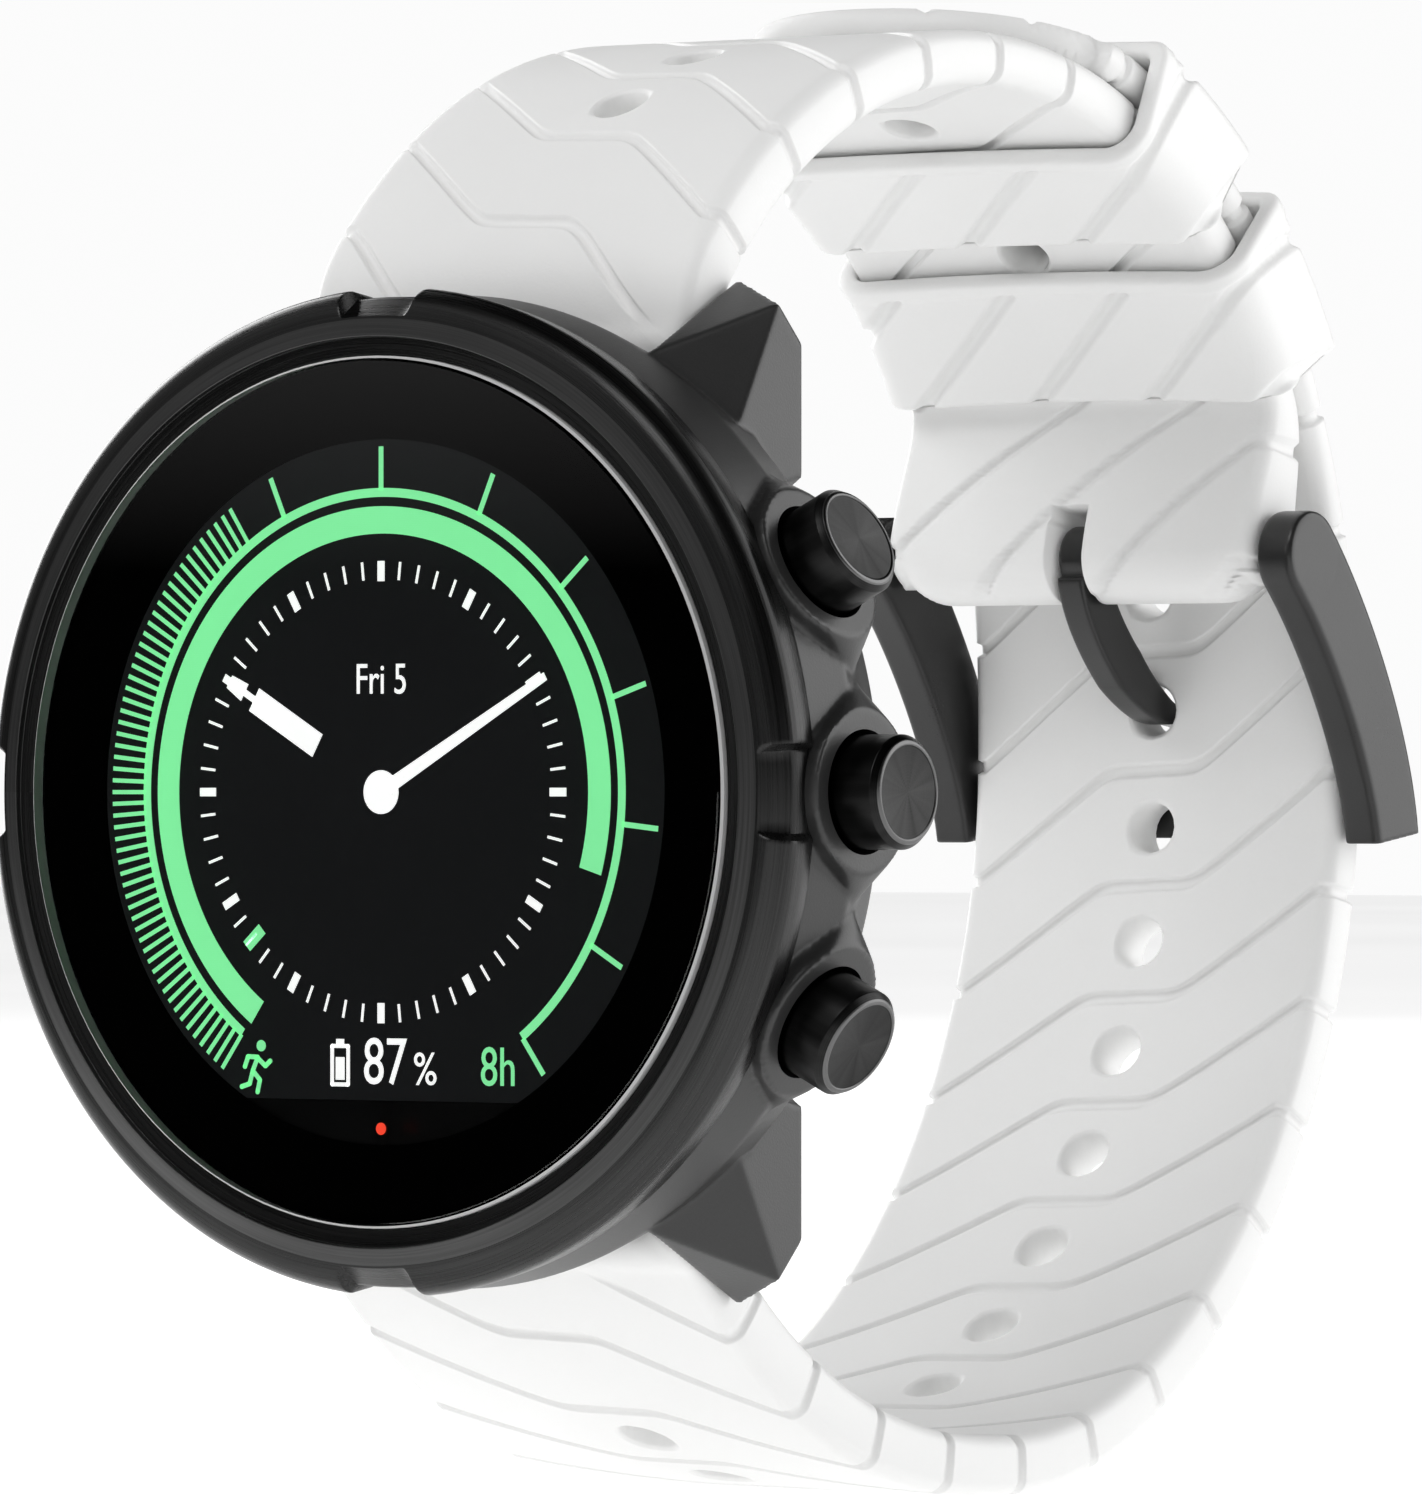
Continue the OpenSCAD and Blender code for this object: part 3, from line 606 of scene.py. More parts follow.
def circuit(p):
    brick = p.node("TexBrick", {"offset": 0.3}, {
        "Vector": p.node("Mapping", {}, {"Vector": p, "Rotation": (math.radians(90), 0, 0)}),
        "Color1": grey(0.0), "Color2": grey(0.55), "Mortar": grey(1.0), "Scale": 900.0,
        "Mortar Size": 0.06, "Brick Width": 1.6, "Row Height": 0.5}, "Color")
    pad = p.node("TexVoronoi", {}, {"Vector": p, "Scale": 800.0}, "Distance")
    gold = p.maths("LESS_THAN", pad, 0.16)
    tone = p.node("RGBToBW", {}, {0: brick})
    return {"Base Color": gold.blend(tone.ramp((0, (0.006, 0.07, 0.03)), (1, (0.012, 0.15, 0.07))),
                                     (0.6, 0.4, 0.12)),
            "Metallic": gold, "Roughness": tone * 0.1 + 0.3, "relief": (tone, 0.03)}


def bare_metal(tone, scale=8000, shine=0.3, deep=0.012):
    def recipe(p):
        scratch = p.noise(scale, 3, (1, 0.1, 1))
        return {"Base Color": p.noise(250).ramp((0.3, tuple(0.85 * c for c in tone)), (0.7, tone)),
                "Roughness": scratch * 0.2 + shine, "relief": (scratch, deep)}
    return recipe


def foil(p):
    wrinkle = p.noise(420, 4, (1, 1, 1), 0.6)
    return {"Base Color": wrinkle.ramp((0.35, 0.42), (0.7, 0.6)), "Roughness": wrinkle * 0.2 + 0.25,
            "relief": (wrinkle, 0.25)}


inner_finishes = [
    ("display_black", display_glass, ["display_panel"], {}),
    ("white_diffuser", diffuser, ["backlight_plate"], {}),
    ("polyimide_film", film, ["display_flex"], {}),
    ("black_plastic", black_plastic, ["inner_frame", "buzzer"], {}),
    ("circuit_board", circuit, ["main_board", "sensor_board"], {}),
    ("tinned_steel", bare_metal((0.66, 0.67, 0.68)),
     ["board_shields", "button_switches", "pressure_sensor", "vibration_motor"], {"Metallic": 1.0}),
    ("copper_trace", bare_metal((0.72, 0.36, 0.18), 6000), ["gps_antenna"], {"Metallic": 1.0}),
    ("battery_foil", foil, ["battery"], {"Metallic": 0.9}),
    ("spring_steel", bare_metal((0.62, 0.63, 0.65), 12000, 0.22),
     three("spring") + three("clip") + ["spring_bar_upper", "spring_bar_lower", "buckle_bar"],
     {"Metallic": 1.0}),
    ("bush_bronze", bare_metal((0.50, 0.36, 0.18), 9000, 0.32), three("bush"), {"Metallic": 1.0})]
for name, recipe, members, fixed in inner_finishes:
    finish(name, [nodes[member] for member in members], recipe, **fixed)

# --------------------------------------------------
# Case back. A turned dark steel disc with a raised island, held by four socket screws, a
# black glass window with three green lamps under it, and four gold charging contacts.
# --------------------------------------------------
def turned_steel(p):
    x, _, z = p.axes()
    radius = x.off_axis(z)
    groove = p.maths("SINE", radius * 52000)
    line = p.node("CombineXYZ", {}, {0: radius}).noise(26000, 2)
    return {"Base Color": line.ramp((0.3, (0.115, 0.120, 0.125)), (0.7, (0.19, 0.195, 0.20))),
            "Roughness": line * 0.18 + groove * 0.02 + 0.27, "relief": (line, 0.006)}


def window_glass(p):
    x, _, z = p.axes()
    radius = x.off_axis(z)
    ring = p.maths("LESS_THAN", p.maths("ABSOLUTE", radius - 0.0058), 0.00012)
    return {"Base Color": ring.blend(0.006, 0.10), "Roughness": p.noise(250) * 0.05 + 0.04}


def lamp(p):
    chip = p.node("TexVoronoi", {}, {"Vector": p, "Scale": 1300.0}, "Distance")
    return {"Base Color": chip.ramp((0.1, (0.5, 0.8, 0.45)), (0.6, (0.16, 0.5, 0.2))),
            "Emission Color": chip.ramp((0.1, (0.1, 0.8, 0.2)), (0.6, (0.0, 0.15, 0.03))),
            "Roughness": chip * 0.2 + 0.15}


finish("turned_dark_steel", [nodes["case_back"]], turned_steel, Metallic=1.0)
finish("screw_steel", [nodes["case_back_screws"]], bare_metal((0.60, 0.61, 0.62), 15000, 0.2),
       Metallic=1.0)
finish("window_glass", [nodes["sensor_window"]], window_glass, Coat_Weight=0.6)
finish("green_lamp", [nodes["sensor_leds"]], lamp, Emission_Strength=0.6)
finish("gold_contact", [nodes["charging_contacts"]], bare_metal((0.83, 0.60, 0.24), 9000, 0.18),
       Metallic=1.0)

# --------------------------------------------------
# Push buttons. Three turned steel heads with a black coating, circular-brushed faces with their
# conic highlight painted as lighter and darker sectors, and a bright chamfer. Each slides in its
# bronze bush against a coil spring.
# --------------------------------------------------
head_face = bezel_r + 2.9
button_profile = outline([
    (0, 22.0, 0), (2.8, 22.0, 0.15), (2.8, head_face - 0.42, 0.05), (2.50, head_face - 0.05, 0.06),
    (2.34, head_face, 0.04), (2.25, head_face - 0.07, 0.04), (0.3, head_face - 0.09, 0),
    (0, head_face - 0.09, 0)], 0.05, 3)
head_points, head_faces = turned(button_profile, 128)
stem_points, stem_faces = turned([(0, 17.3), (0.9, 17.3), (1.0, 17.4), (1.0, 22.2), (0, 22.2)], 48)


def turned_black(p):
    x, y, z = p.axes()
    radius = x.off_axis(y)
    groove = p.node("CombineXYZ", {}, {0: radius}).noise(30000, 2)
    face = p.maths("GREATER_THAN", z, (head_face - 0.12) * MM)
    rim = face * p.maths("GREATER_THAN", radius, 2.28 * MM)
    around = p.maths("ARCTAN2", y, x)
    # painted highlight: streak is the angle round the axis, and noise on it paints lighter and darker
    # sectors into the coat's colour in place of the conic highlight that circular brushing throws
    streak = p.node("CombineXYZ", {}, {0: p.maths("SINE", around), 1: p.maths("COSINE", around)})
    painted_sector_highlight = streak.noise(2.2, 3)
    coat_and_sector_highlight = (groove * 0.5 + painted_sector_highlight * 0.5).ramp((0.35, 0.010), (0.65, 0.038))
    return {"Base Color": rim.blend(coat_and_sector_highlight, 0.14),
            "Roughness": groove * 0.14 + painted_sector_highlight * 0.08 + 0.20, "relief": (groove, 0.004)}


buttons = []
for which, degrees in button_turns.items():
    head = piece("push_button_" + which,
                 *joined([(head_points, head_faces), (stem_points, stem_faces)]), crease=40)
    a = math.radians(degrees)
    outward = Vector((math.cos(a), 0, math.sin(a)))
    side = Vector((-math.sin(a), 0, math.cos(a)))
    front = outward.cross(side)
    head.matrix_world = Matrix.Translation((0, -button_h * MM, 0)) @ Matrix(
        (side, front, outward)).transposed().to_4x4()
    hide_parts("button_" + which)
    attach(head, "button_" + which)
    buttons.append(head)
finish("turned_black_steel", buttons, turned_black, Metallic=1.0, Anisotropic=0.75)

# --------------------------------------------------
# Strap. Two halves of moulded silicone with slanted grooves through the face and round the
# edge, and a row of holes. A spring bar holds each in the lugs; the long half runs round
# behind the wrist and passes outside the short one, which carries the buckle.
# --------------------------------------------------
strap_w = 23.8
hole_r = 1.4
hole_pitch = 6.5
short_first_hole, short_holes = 15.8, 7
long_first_hole, long_holes = 15.3, 18
groove_deep = 0.3
eye_r = 2.0
past_bar = 2.45
end_corner_r = 3.2
end_round = 2.5
upper_bar, lower_bar, buckle_at = (
    np.array([(low.y + high.y) / 2, (low.z + high.z) / 2]) / MM
    for low, high in (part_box(name) for name in ("spring_bar_upper", "spring_bar_lower", "buckle_bar")))
wrist_at = buckle_at - (26.1, 5.5)
short_arc_r = 30.65
short_from, short_thin, short_to = 140, 88, 28
tail_arc_r = 33.1
tail_from, tail_to = 25, 84
loop_back = wrist_at[0] + 33.6


def toward(degrees):
    """The direction [y, z] at that angle."""
    return np.array([math.cos(math.radians(degrees)), math.sin(math.radians(degrees))])


def bend(start, start_turn, start_pull, end, end_turn, end_pull, thick0, thick1, count=60):
    """A smooth run between two points [y, z], as rows of point, direction and thickness."""
    p = [start, start + start_pull * toward(start_turn), end - end_pull * toward(end_turn), end]
    t = np.linspace(0, 1, count + 1)[:, None]
    at = ((1 - t) ** 3 * p[0] + 3 * (1 - t) ** 2 * t * p[1] + 3 * (1 - t) * t * t * p[2] + t ** 3 * p[3])
    way = (1 - t) ** 2 * (p[1] - p[0]) + 2 * (1 - t) * t * (p[2] - p[1]) + t * t * (p[3] - p[2])
    way = way / np.linalg.norm(way, axis=1)[:, None]
    return np.hstack([at, way, thick0 + (thick1 - thick0) * t])


def arc(radius, start, end, thick0, thick1):
    """A run round the wrist's centre."""
    a = np.linspace(start, end, max(3, int(abs(end - start))) + 1)
    at = wrist_at + radius * np.array([toward(x) for x in a])
    way = np.sign(end - start) * np.array([toward(x + 90) for x in a])
    thick = np.linspace(thick0, thick1, len(a))[:, None]
    return np.hstack([at, way, thick])


def chain(*runs):
    """Runs joined end to end, with the length so far in front of each row."""
    rows = np.vstack([runs[0]] + [run[1:] for run in runs[1:]])
    steps = np.linalg.norm(np.diff(rows[:, :2], axis=0), axis=1)
    return np.column_stack([np.r_[0, np.cumsum(steps)], rows])


short_run = chain(
    bend(upper_bar, 84, 2.0, wrist_at + short_arc_r * toward(short_from), 50, 2.0, 3.6, 3.6),
    arc(short_arc_r, short_from, short_thin, 3.6, 2.7),
    arc(short_arc_r, short_thin, short_to, 2.7, 2.7),
    bend(wrist_at + short_arc_r * toward(short_to), -62, 2.6, buckle_at, -96, 4.0, 2.7, 5.0))
loop_low = np.array([loop_back - 31.1, lower_bar[1] - 12.6])
loop_rear = np.array([loop_back, loop_low[1] + 36.1])
long_run = chain(
    bend(lower_bar, -49, 11.5, loop_low, 0, 11.5, 3.6, 3.1),
    bend(loop_low, 0, 16.4, loop_rear, 90, 18.8, 3.1, 2.8),
    bend(loop_rear, 90, 7, wrist_at + tail_arc_r * toward(tail_from), 115, 7, 2.8, 2.0),
    arc(tail_arc_r, tail_from, tail_to, 2.0, 2.0))


def slant(x, straight):
    """How far a groove has run along the strap at x: slanted, level between the holes, slanted.
    Where straight is 1 it slants all the way."""
    u = np.abs(x) - 2.9
    stepped = 0.78 * np.sign(x) * 0.5 * (u + np.sqrt(u * u + 0.5))
    return stepped * (1 - straight) + 0.86 * x * straight


def nearest(along):
    """How far a place along the strap is from the nearest multiple of the holes' pitch."""
    return (along + hole_pitch / 2) % hole_pitch - hole_pitch / 2


def groove_depth(away):
    """Depth, 0 to 1, at a distance from the middle of a groove: flat floor, steep walls."""
    return np.clip((0.40 - np.abs(away)) / 0.16, 0, 1)


hole_edge, hole_ease, hole_bevel = 1.38, 2.1, 0.2
hole_steps = np.array([0, 0.4, 0.8, 1.2, hole_edge, 1.65, hole_ease])
across = np.r_[hole_steps, np.arange(2.4, 10.6, 0.3)]
groove_steps = np.array([0, 0.24, 0.32, 0.40, 0.5])
corner_turns = np.linspace(90, -90, 13)


def strap(name, run, first_hole, holes, lean, tip_r, slot_from=None, straight_from=None):
    """One strap half along its run. The rows of its mesh follow the grooves, which slant the way
    lean says. tip_r rounds a free end; without it the end takes the buckle's bar, and the tang's
    slot starts at slot_from. From straight_from on the grooves slant all the way across."""
    total = run[-1, 0]
    first = first_hole - hole_pitch / 2
    half = strap_w / 2
    steps = np.unique(np.r_[groove_steps, -groove_steps + hole_pitch,
                            hole_pitch / 2 + hole_steps, hole_pitch / 2 - hole_steps])[:-1]
    periods = range(int(-(first + 12) // hole_pitch), int((total + 12 - first) // hole_pitch) + 1)
    level_from = total - (30 if tip_r else 17)
    end_rows = [np.arange(level_from - 8, total + 3, 0.14)]
    if not tip_r:
        round_turns = np.linspace(0, math.pi / 2, 14)
        end_rows += [[slot_from], total + past_bar - end_round * (1 - np.cos(round_turns))]
    lines = np.unique(np.r_[np.concatenate([first + k * hole_pitch + steps for k in periods]),
                            np.concatenate(end_rows)])
    c = min(1.0, 0.45 * run[:, 5].min())
    flat = half - c
    cols = np.unique(np.r_[across, -across, flat, -flat])
    m = len(cols)
    # one ring of the mesh: outer face, rounded edge, wrist face, rounded edge
    sides = [(x, 1, 90.0) for x in cols]
    sides += [(flat, 0, t) for t in corner_turns[1:-1]]
    sides += [(x, -1, -90.0) for x in cols[::-1]]
    sides += [(-flat, 0, 180 - t) for t in corner_turns[::-1][1:-1]]
    x = np.array([s[0] for s in sides])
    turn = np.radians([s[2] for s in sides])
    face = np.array([s[1] for s in sides])
    S, X = np.meshgrid(lines, x, indexing="ij")
    FACE = np.broadcast_to(face, S.shape)
    straight = np.zeros_like(S) if straight_from is None else np.clip((S - straight_from) / 6, 0, 1)
    # towards the free end the rows turn level while the grooves stay slanted
    slanted = 1 - np.clip((S - level_from) / 13, 0, 1)
    lean_by = lean * slant(X, straight)
    raw = S + lean_by * slanted
    groove_at = raw - lean_by
    # holes: the square of cells round each is drawn onto its circle
    ds = nearest(S - first_hole)
    which = np.round((S - first_hole) / hole_pitch)
    near = (np.maximum(np.abs(X), np.abs(ds)) < 2.0) & (which >= 0) & (which < holes) & (FACE != 0)
    square = np.maximum(np.abs(X), np.abs(ds))
    reach = np.hypot(X, ds) + 1e-9
    share = np.clip((square - hole_edge) / (hole_ease - hole_edge), 0, 1)
    inside = square < 1.3
    round_r = np.where(inside, hole_r, hole_r + hole_bevel)
    keep_x, keep_s = X / reach * round_r, ds / reach * round_r
    drop = np.where(near & inside, hole_bevel, 0.0)
    X2 = np.where(near, keep_x * (1 - share) + X * share, X)
    raw = np.where(near, raw + (keep_s - ds) * (1 - share), raw)
    # ends: the bar's eye, and the free end
    back_end = 0.05 - eye_r
    if tip_r:
        in_tip = np.minimum(np.abs(X), tip_r)
        front_end = total - tip_r + np.sqrt(np.clip(tip_r ** 2 - in_tip ** 2, 0, None))
        front_round = c
    else:
        corner = np.clip(np.abs(X) - (half - end_corner_r), 0, end_corner_r)
        front_end = total + past_bar - end_corner_r + np.sqrt(end_corner_r ** 2 - corner ** 2)
        front_round = end_round
    at = np.clip(raw, back_end, front_end)
    point = [np.interp(at, run[:, 0], run[:, k]) for k in range(1, 6)]
    ahead, behind = np.clip(at - total, 0, None), np.clip(-at, 0, None)
    py = point[0] + point[2] * (ahead - behind)
    pz = point[1] + point[3] * (ahead - behind)
    thick = point[4] / 2
    eye = np.sqrt(np.clip(eye_r ** 2 - at ** 2, 0, None))
    thick = np.where(at < 0, eye, np.maximum(thick, np.where(at < eye_r, eye, 0)))
    left = np.clip(front_end - at, 0, None)
    rounding = np.sqrt(np.clip(1 - (1 - np.clip(left / front_round, 0, 1)) ** 2, 0, 1))
    thick = np.where(left < front_round, thick - front_round + front_round * rounding
                     if tip_r else thick * rounding, thick)
    thick = np.maximum(thick, 0.02)
    bevel = np.minimum(c, thick * 0.98)
    nx, nv = np.cos(turn)[None, :] * np.where(FACE == 0, 1, 0), np.sin(turn)[None, :]
    edge_x = np.sign(X) * (half - bevel) + bevel * nx
    edge_v = (thick - bevel) * np.sign(nv) * (np.abs(nv) > 1e-6) + bevel * nv
    V = np.where(FACE == 0, edge_v, FACE * (thick - drop))
    X3 = np.where(FACE == 0, edge_x, X2)
    away = nearest(groove_at - first)
    end_fade = 0.8 if tip_r else 0.3
    fade = np.clip((raw - 1.0) / 1.5, 0, 1) * np.clip((front_end - raw) / end_fade, 0, 1)
    deep = groove_deep * groove_depth(away) * fade
    X3 = X3 - deep * nx
    V = V - deep * np.where(FACE == 0, nv, FACE)
    Y = py + V * -point[3]
    Z = pz + V * point[2]
    points = np.stack([X3, Y, Z], -1).reshape(-1, 3)
    n, rows = len(sides), len(lines)
    edge_n = len(corner_turns) - 2
    bottom = [2 * m + edge_n - 1 - j for j in range(m)]

    def wall(one, two):
        """A face through the strap, under the line between two outer points [row, column]."""
        (i0, j0), (i1, j1) = one, two
        return i0 * n + j0, i1 * n + j1, i1 * n + bottom[j1], i0 * n + bottom[j0]

    # cells that are open: holes and the tang's slot
    mid_s = (lines[:-1] + lines[1:]) / 2
    mid_x = (cols[:-1] + cols[1:]) / 2
    hs = nearest(mid_s - first_hole)
    hk = np.round((mid_s - first_hole) / hole_pitch)
    middle_cells = (np.abs(mid_x) < 1.2)[None, :]
    gone = ((np.abs(hs) < 1.2) & (hk >= 0) & (hk < holes))[:, None] & middle_cells
    if slot_from is not None:
        gone |= (mid_s > slot_from)[:, None] & middle_cells
    faces = []
    for index, cell in enumerate(skin(rows, n)):
        i, j = divmod(index, n)
        under = bottom[0] - j
        open_above = j < m - 1 and gone[i, j]
        open_below = 1 <= under <= m - 1 and gone[i, under - 1]
        if not (open_above or open_below):
            faces.append(cell)
    # the walls of the open cells, then the two ends
    for i, j in np.argwhere(gone).tolist():
        for di, dj, one, two in (
                (-1, 0, (i, j), (i, j + 1)), (1, 0, (i + 1, j), (i + 1, j + 1)),
                (0, -1, (i, j), (i + 1, j)), (0, 1, (i, j + 1), (i + 1, j + 1))):
            if 0 <= i + di < rows - 1 and not gone[i + di, j + dj]:
                faces.append(wall(one, two))
    for row, skip in ((0, np.zeros(m - 1, bool)), (rows - 1, gone[-1])):
        faces += [wall((row, j), (row, j + 1)) for j in range(m - 1) if not skip[j]]
        for ring in (list(range(m - 1, m + edge_n + 1)), list(range(2 * m + edge_n - 1, n)) + [0]):
            faces.append(tuple(row * n + j for j in ring))
    return piece(name, points, faces)


def silicone(p):
    grain = p.noise(7000, 3)
    cloud = p.noise(90, 2)
    tone = cloud * 0.7 + grain * 0.3
    return {"Base Color": tone.ramp((0.3, (0.86, 0.86, 0.855)), (0.7, (0.89, 0.89, 0.885))),
            "Roughness": grain * 0.10 + cloud * 0.06 + 0.42, "relief": (grain, 0.006)}


short_half = strap("strap_short_silicone", short_run, short_first_hole, short_holes, -1, None,
                   slot_from=short_run[-1, 0] - 2.4,
                   straight_from=short_first_hole + 6.6 * hole_pitch)
long_half = strap("strap_long_silicone", long_run, long_first_hole, long_holes, 1, strap_w / 2)
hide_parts("strap_short")
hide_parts("strap_long")
for half_piece in (short_half, long_half):
    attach(half_piece, "case")

# --------------------------------------------------
# Keepers. Two silicone loops that slide on the strap. Each has a smooth lip round its
# mouth, round inner corners on the wrist side and the strap's grooves across its walls.
# --------------------------------------------------
keeper_low, keeper_high = 28.1, 35.3
keeper_half = 13.15
keeper_wall = 1.0
keeper_span = 17.2
mouth_soft = 0.4
keeper_slope = 0.89
keeper_phase = -0.27
keeper_groove = 0.4
lip_drop = 0.12
mouth_bow = 0.4


def loop_section(low, high, half, wrist_corner, outer_corner, count=10):
    """A rounded rectangle [radius, x] with the same number of points for every size."""
    made = []
    for r, x, corner, start in ((high, half, outer_corner, 0), (low, half, wrist_corner, 90),
                                (low, -half, wrist_corner, 180), (high, -half, outer_corner, 270)):
        cr = r + (corner if r == low else -corner)
        cx = x - math.copysign(corner, x)
        for t in np.radians(np.linspace(start, start + 90, count + 1)):
            made.append((cr + corner * math.cos(t), cx + corner * math.sin(t)))
    filled = []
    for k, (a, b) in enumerate(zip(made, made[1:] + made[:1])):
        steps = (28, 120, 28, 60)[k // (count + 1)] if k % (count + 1) == count else 1
        filled += [np.array(a) + (np.array(b) - a) * i / steps for i in range(steps)]
    return np.array(filled)


def keeper(name, angle):
    """One keeper: an outer wall with slanted grooves, and an inner one, joined by round rims."""
    mid_r = keeper_low + 1.0
    long = math.radians(keeper_span) * mid_r
    rim = mouth_soft * (1 - np.cos(np.linspace(0, math.pi / 2, 7)))
    points, faces, first_rows, last_rows = [], [], [], []
    for wall in (0, 1):
        inner = wall * keeper_wall
        section = loop_section(keeper_low + inner, keeper_high - inner, keeper_half - inner,
                               2.4 - 0.9 * wall, 1.0 - 0.6 * wall)
        n = len(section)
        x = section[:, 1]
        on = np.roll(section, -1, 0) - np.roll(section, 1, 0)
        out = np.stack([on[:, 1], -on[:, 0]], -1) / np.linalg.norm(on, axis=1)[:, None]
        out *= np.sign(np.sum(out * (section - section.mean(0)), 1))[:, None] * (1 - 2 * wall)
        edge = (x / keeper_half) ** 2
        shift = keeper_slope * x - 0.24 * (section[:, 0] - keeper_low) * x / keeper_half
        middle_rows = np.arange(0.5, long - 0.45, 0.13) if wall == 0 else []
        rows = np.r_[rim, middle_rows, long - rim[::-1]]
        start = sum(len(some) for some in points)
        for row in rows:
            at = row * (1 - mouth_bow / long) + mouth_bow * edge
            end = np.clip(mouth_soft - min(row, long - row), 0, None)
            inset = mouth_soft - math.sqrt(max(mouth_soft ** 2 - end ** 2, 0))
            if wall == 0:
                away = nearest(at + shift - keeper_phase)
                groove = np.clip((0.46 - np.abs(away) * 0.75) / 0.24, 0, 1)
                below_lip = np.clip((row - 0.95) / 0.3, 0, 1)
                inset = inset + below_lip * (lip_drop + keeper_groove * groove)
            where = section - out * (inset * np.ones(n))[:, None]
            a = np.radians(angle + keeper_span / 2) - at / mid_r
            points.append(np.stack([where[:, 1], wrist_at[0] + where[:, 0] * np.cos(a),
                                    wrist_at[1] + where[:, 0] * np.sin(a)], -1))
        faces += skin(len(rows), n, start)
        first_rows.append(start)
        last_rows.append(start + (len(rows) - 1) * n)
    for one, two in (first_rows, last_rows):
        faces += [(one + j, one + (j + 1) % n, two + (j + 1) % n, two + j) for j in range(n)]
    made = piece(name, np.concatenate(points), faces)
    return made


keepers = []
for which, angle in (("upper", 58.4), ("lower", 37.0)):
    made = keeper("keeper_loop_" + which, angle)
    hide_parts("keeper_" + which)
    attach(made, "keeper_" + which)
    keepers.append(made)
finish("white_silicone", [short_half, long_half] + keepers, silicone, Subsurface_Weight=0.0)

# --------------------------------------------------
# Buckle. A black-coated steel frame with two crescent arms and a crossbar behind the strap,
# cast in one piece, and an S-shaped tang that turns on the same bar and goes through a hole.
# --------------------------------------------------
arm_in = strap_w / 2 + 0.35
arm_w = 2.2
arm_thick, arm_end_thick = 4.8, 4.2
frame_eye_r, tang_eye_r = 2.4, 1.75
tang_half = 0.85
tang_hole = 11
crossbar_deep, crossbar_tall = 1.2, 3.4
crossbar_at = np.array([loop_back + 1.4 + 0.3 + crossbar_deep / 2, loop_rear[1] - 2.3])


def swept(run, x0, x1, soft=0.35):
    """A bar of that width with soft edges along a run, open at neither end."""
    points = []
    for _, y, z, dy, dz, thick in run:
        v0, v1 = -thick / 2, thick / 2
        for x, v in outline([(x0, v0), (x1, v0), (x1, v1), (x0, v1)], soft, 3):
            points.append((x, y - v * dz, z + v * dy))
    n = len(points) // len(run)
    faces = skin(len(run), n)
    faces += [tuple(range(n)), tuple(range(len(run) * n - n, len(run) * n))[::-1]]
    return points, faces


def rod(at, radius, x0, x1, soft=0.35):
    """A round rod across the strap with soft ends."""
    points, faces = turned(outline([(0, x0, 0), (radius, x0), (radius, x1), (0, x1, 0)], soft, 4), 72)
    return [(h, at[0] + x, at[1] + y) for x, y, h in points], faces


arm_end = crossbar_at + ((crossbar_deep - arm_end_thick) / 2, -crossbar_tall / 2)
arm_run = chain(bend(buckle_at, -45, 5, arm_end, -82, 5, arm_thick, arm_end_thick, 40))
frame_parts = []
for side in (1, -1):
    x0, x1 = sorted((side * arm_in, side * (arm_in + arm_w)))
    frame_parts += [swept(arm_run, x0, x1), rod(buckle_at, frame_eye_r, x0, x1)]
bar_end = arm_in + 0.8
bar_low = (-bar_end, crossbar_at[0] - crossbar_deep / 2, crossbar_at[1] - crossbar_tall / 2)
frame_parts.append(block(bar_low, (bar_end, bar_low[1] + crossbar_deep, bar_low[2] + crossbar_tall)))
buckle = piece("buckle_casting", *joined(frame_parts))
fused(buckle, 0.1, 3)
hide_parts("buckle_frame")
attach(buckle, "buckle")

long_hole = long_first_hole + tang_hole * hole_pitch
hole_at = np.array([np.interp(long_hole, long_run[:, 0], long_run[:, k]) for k in (1, 2)])
tang_mid = hole_at - (0, 0.25)
tang_tip = hole_at + (2.75, -1.9)
tang_run = chain(bend(buckle_at + (-0.5, -0.9), -84, 2.6, tang_mid, -5, 3.0, 1.0, 1.0, 40),
                 bend(tang_mid, -5, 2.1, tang_tip, -85, 1.2, 1.0, 1.0, 20))
# stout from the bar down to the bend, then thin through the hole
tang_run[:, 5] = np.interp(np.arange(len(tang_run)), (0, 22, 33, 40), (2.8, 2.7, 1.8, 1.0))
tang = piece("buckle_tang_bar", *joined([swept(tang_run, -tang_half, tang_half, 0.2),
                                         rod(buckle_at, tang_eye_r, -tang_half, tang_half, 0.2),
                                         rod(tang_tip, 0.5, -tang_half, tang_half, 0.2)]))
fused(tang, 0.09, 4)
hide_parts("buckle_tang")
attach(tang, "tang")


def satin_black(p):
    grain = p.noise(12000, 3)
    cloud = p.noise(200, 2)
    return {"Base Color": (cloud * 0.6 + grain * 0.4).ramp((0.3, 0.020), (0.7, 0.032)),
            "Roughness": grain * 0.10 + cloud * 0.06 + 0.22, "relief": (grain, 0.003)}


finish("satin_black_steel", [buckle, tang], satin_black, Metallic=0.3)

# --------------------------------------------------
# Studio. A pale floor under the standing watch, soft panels round it and the camera.
# --------------------------------------------------
low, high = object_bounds()
bpy.ops.mesh.primitive_plane_add(size=6, location=(0, 0, low.z - 0.0005))
floor = bpy.context.object
floor.name = "floor"
finish("pale_floor", [floor], lambda p: {
    "Base Color": p.noise(3).ramp((0.3, 0.86), (0.7, 0.9)), "Roughness": p.noise(40) * 0.1 + 0.6,
    "Emission Color": p.noise(3).ramp((0.3, 0.95), (0.7, 1.0))}, Emission_Strength=0.52)


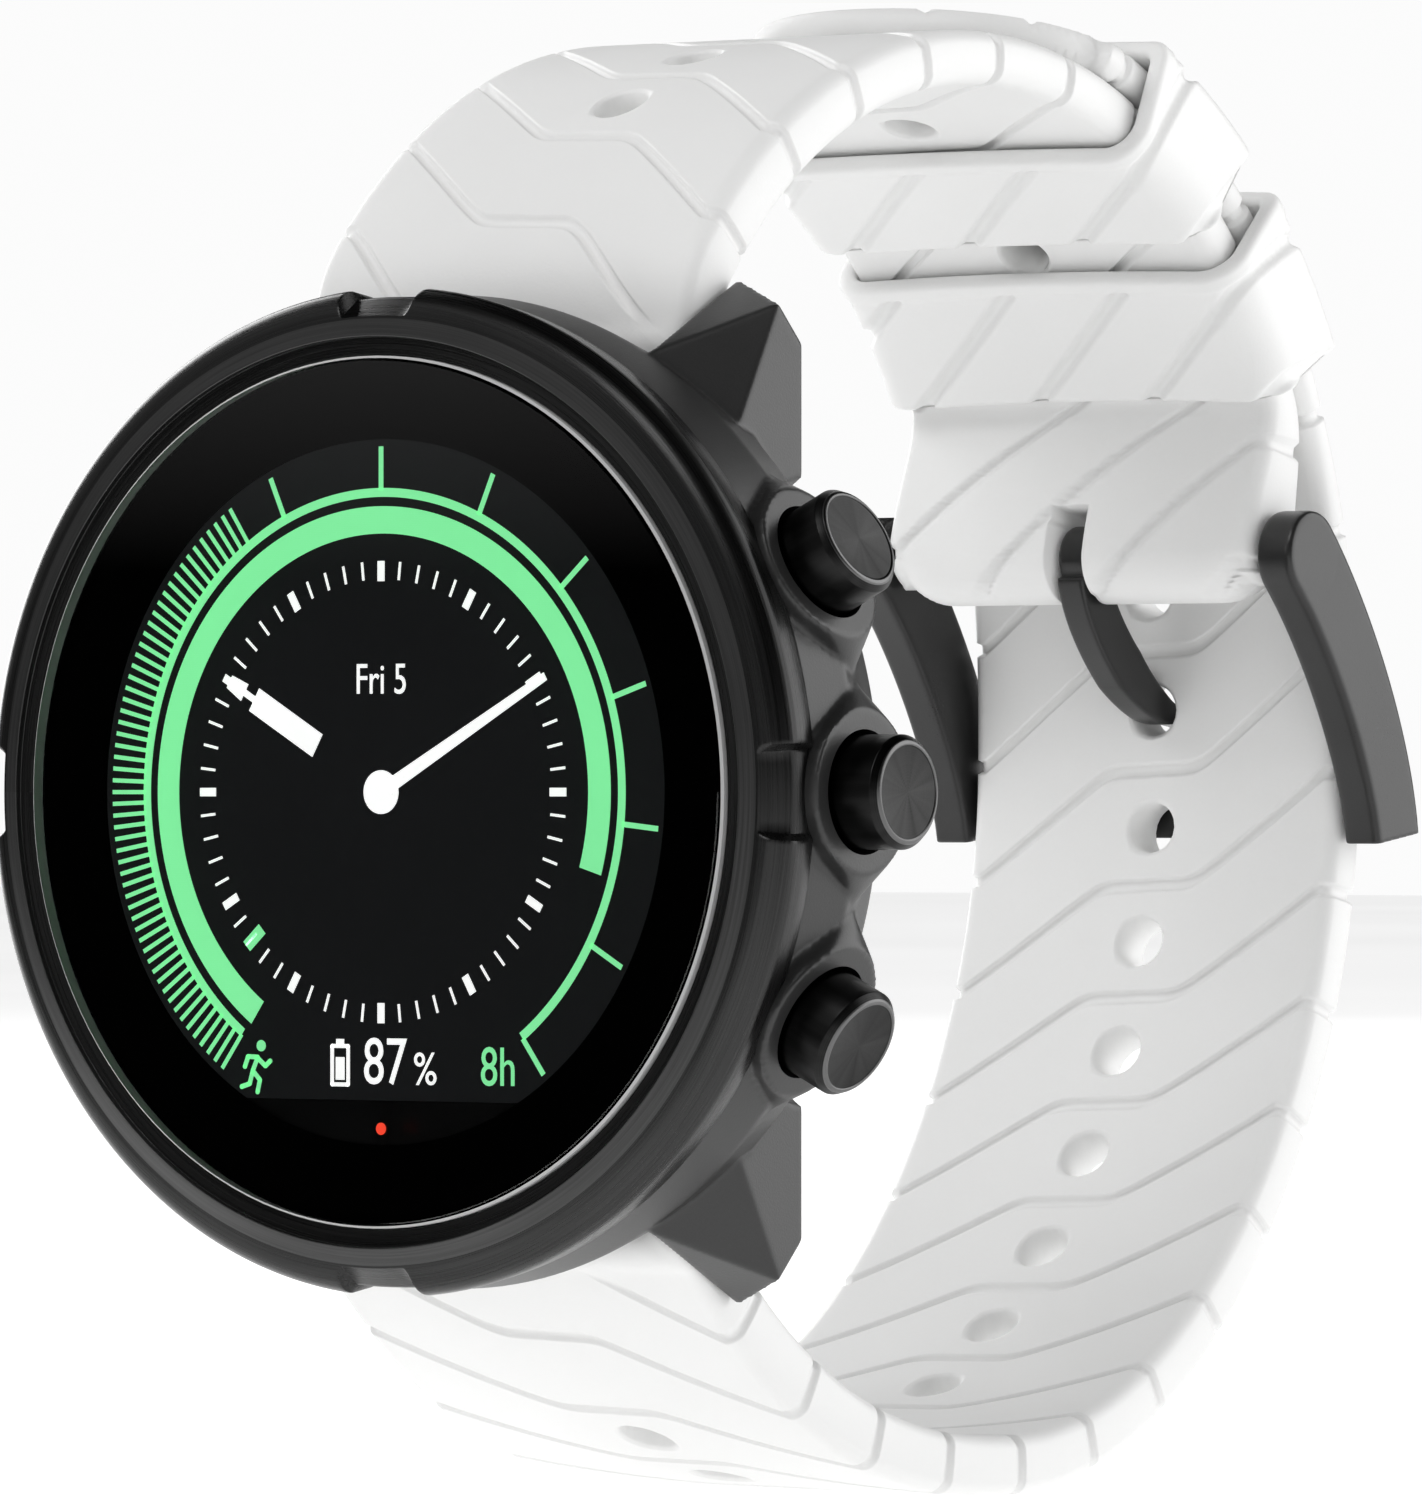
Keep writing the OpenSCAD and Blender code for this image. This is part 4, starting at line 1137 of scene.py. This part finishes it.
def panel(name, place, target, size, power, mirrored):
    """A soft light of that size in metres, facing the target; it lights or it is mirrored."""
    lamp_data = bpy.data.lights.new(name, "AREA")
    lamp_data.shape, lamp_data.energy = "RECTANGLE", power
    lamp_data.size, lamp_data.size_y = size
    made = put(name, lamp_data)
    made.location = place
    made.visible_glossy = mirrored
    made.visible_diffuse = not mirrored
    made.rotation_euler = (Vector(target) - Vector(place)).to_track_quat("-Z", "Y").to_euler()


middle = (low + high) / 2
for name, place, size, power, mirrored in (
        ("key", (-0.6, -0.7, 1.0), (0.7, 0.7), 6.8, False),
        ("side", (0.95, 0.72, 0.2), (0.6, 0.9), 5.0, False),
        ("back", (-0.4, 1.0, 0.5), (0.9, 0.6), 2, False),
        ("right_wall", (0.75, 0.85, 0.1), (1.1, 1.9), 17, True),
        ("left_wall", (-0.9, 0.45, 0.3), (0.5, 0.8), 5, True),
        ("roof", (0.15, -0.6, 0.75), (0.35, 0.35), 1.8, True)):
    panel(name, place, middle, size, power, mirrored)
world = bpy.data.worlds.new("studio")
bpy.context.scene.world = world
world.use_nodes = True
world.cycles_visibility.glossy = False
sky = Wire(world.node_tree)
around = sky.node("Background", {}, {"Color": grey(1.0), "Strength": 0.5})
backdrop = sky.node("Background", {}, {"Color": grey(1.0), "Strength": 0.97})
seen = sky.node("MixShader", {}, {0: sky.node("LightPath", {}, {}, "Is Camera Ray"),
                                  1: around, 2: backdrop})
surfaced(world, seen, "World Output")
bpy.context.scene.view_settings.view_transform = "Standard"

view_turn = math.radians(37.78)
camera_off = 0.571
card_off = 0.16
dial_middle = Vector((0, -case_top * MM, 0))
back_off = Vector((math.sin(view_turn), -math.cos(view_turn), 0))
# a black card that the glass mirrors, paler towards its top
bpy.ops.mesh.primitive_plane_add(size=0.5)
card = bpy.context.object
card.name = "card"
card.location = dial_middle + Vector((-back_off.x, back_off.y, 0)) * card_off
card.rotation_euler = (math.radians(90), 0, math.atan2(-back_off.y, back_off.x) + math.radians(90))
card.visible_camera = card.visible_diffuse = card.visible_shadow = False
card_paint = bpy.data.materials.new("card")
card_paint.use_nodes = True
paint = Wire(card_paint.node_tree)
up = paint.node("SeparateXYZ", {}, {0: paint.node("TexCoord", {}, {}, "Object")}, 1)
pale = (up * 10).ramp((0.14, 0.0), (0.28, 0.35))
light = paint.node("Emission", {}, {"Color": pale, "Strength": 1.0})
surfaced(card_paint, light)
card.data.materials.append(card_paint)

eye = bpy.data.cameras.new("camera")
eye.lens, eye.sensor_width = 278.2, 36
eye.clip_start, eye.clip_end = 0.01, 20
camera = put("camera", eye)
camera.location = dial_middle + back_off * camera_off
pan, tilt = math.radians(1.695), math.radians(0.208)
aim = -back_off
aim.rotate(Matrix.Rotation(-pan, 3, "Z"))
right = aim.cross(Vector((0, 0, 1)))
aim.rotate(Matrix.Rotation(tilt, 3, right))
camera.rotation_euler = aim.to_track_quat("-Z", "Y").to_euler()
bpy.context.scene.camera = camera
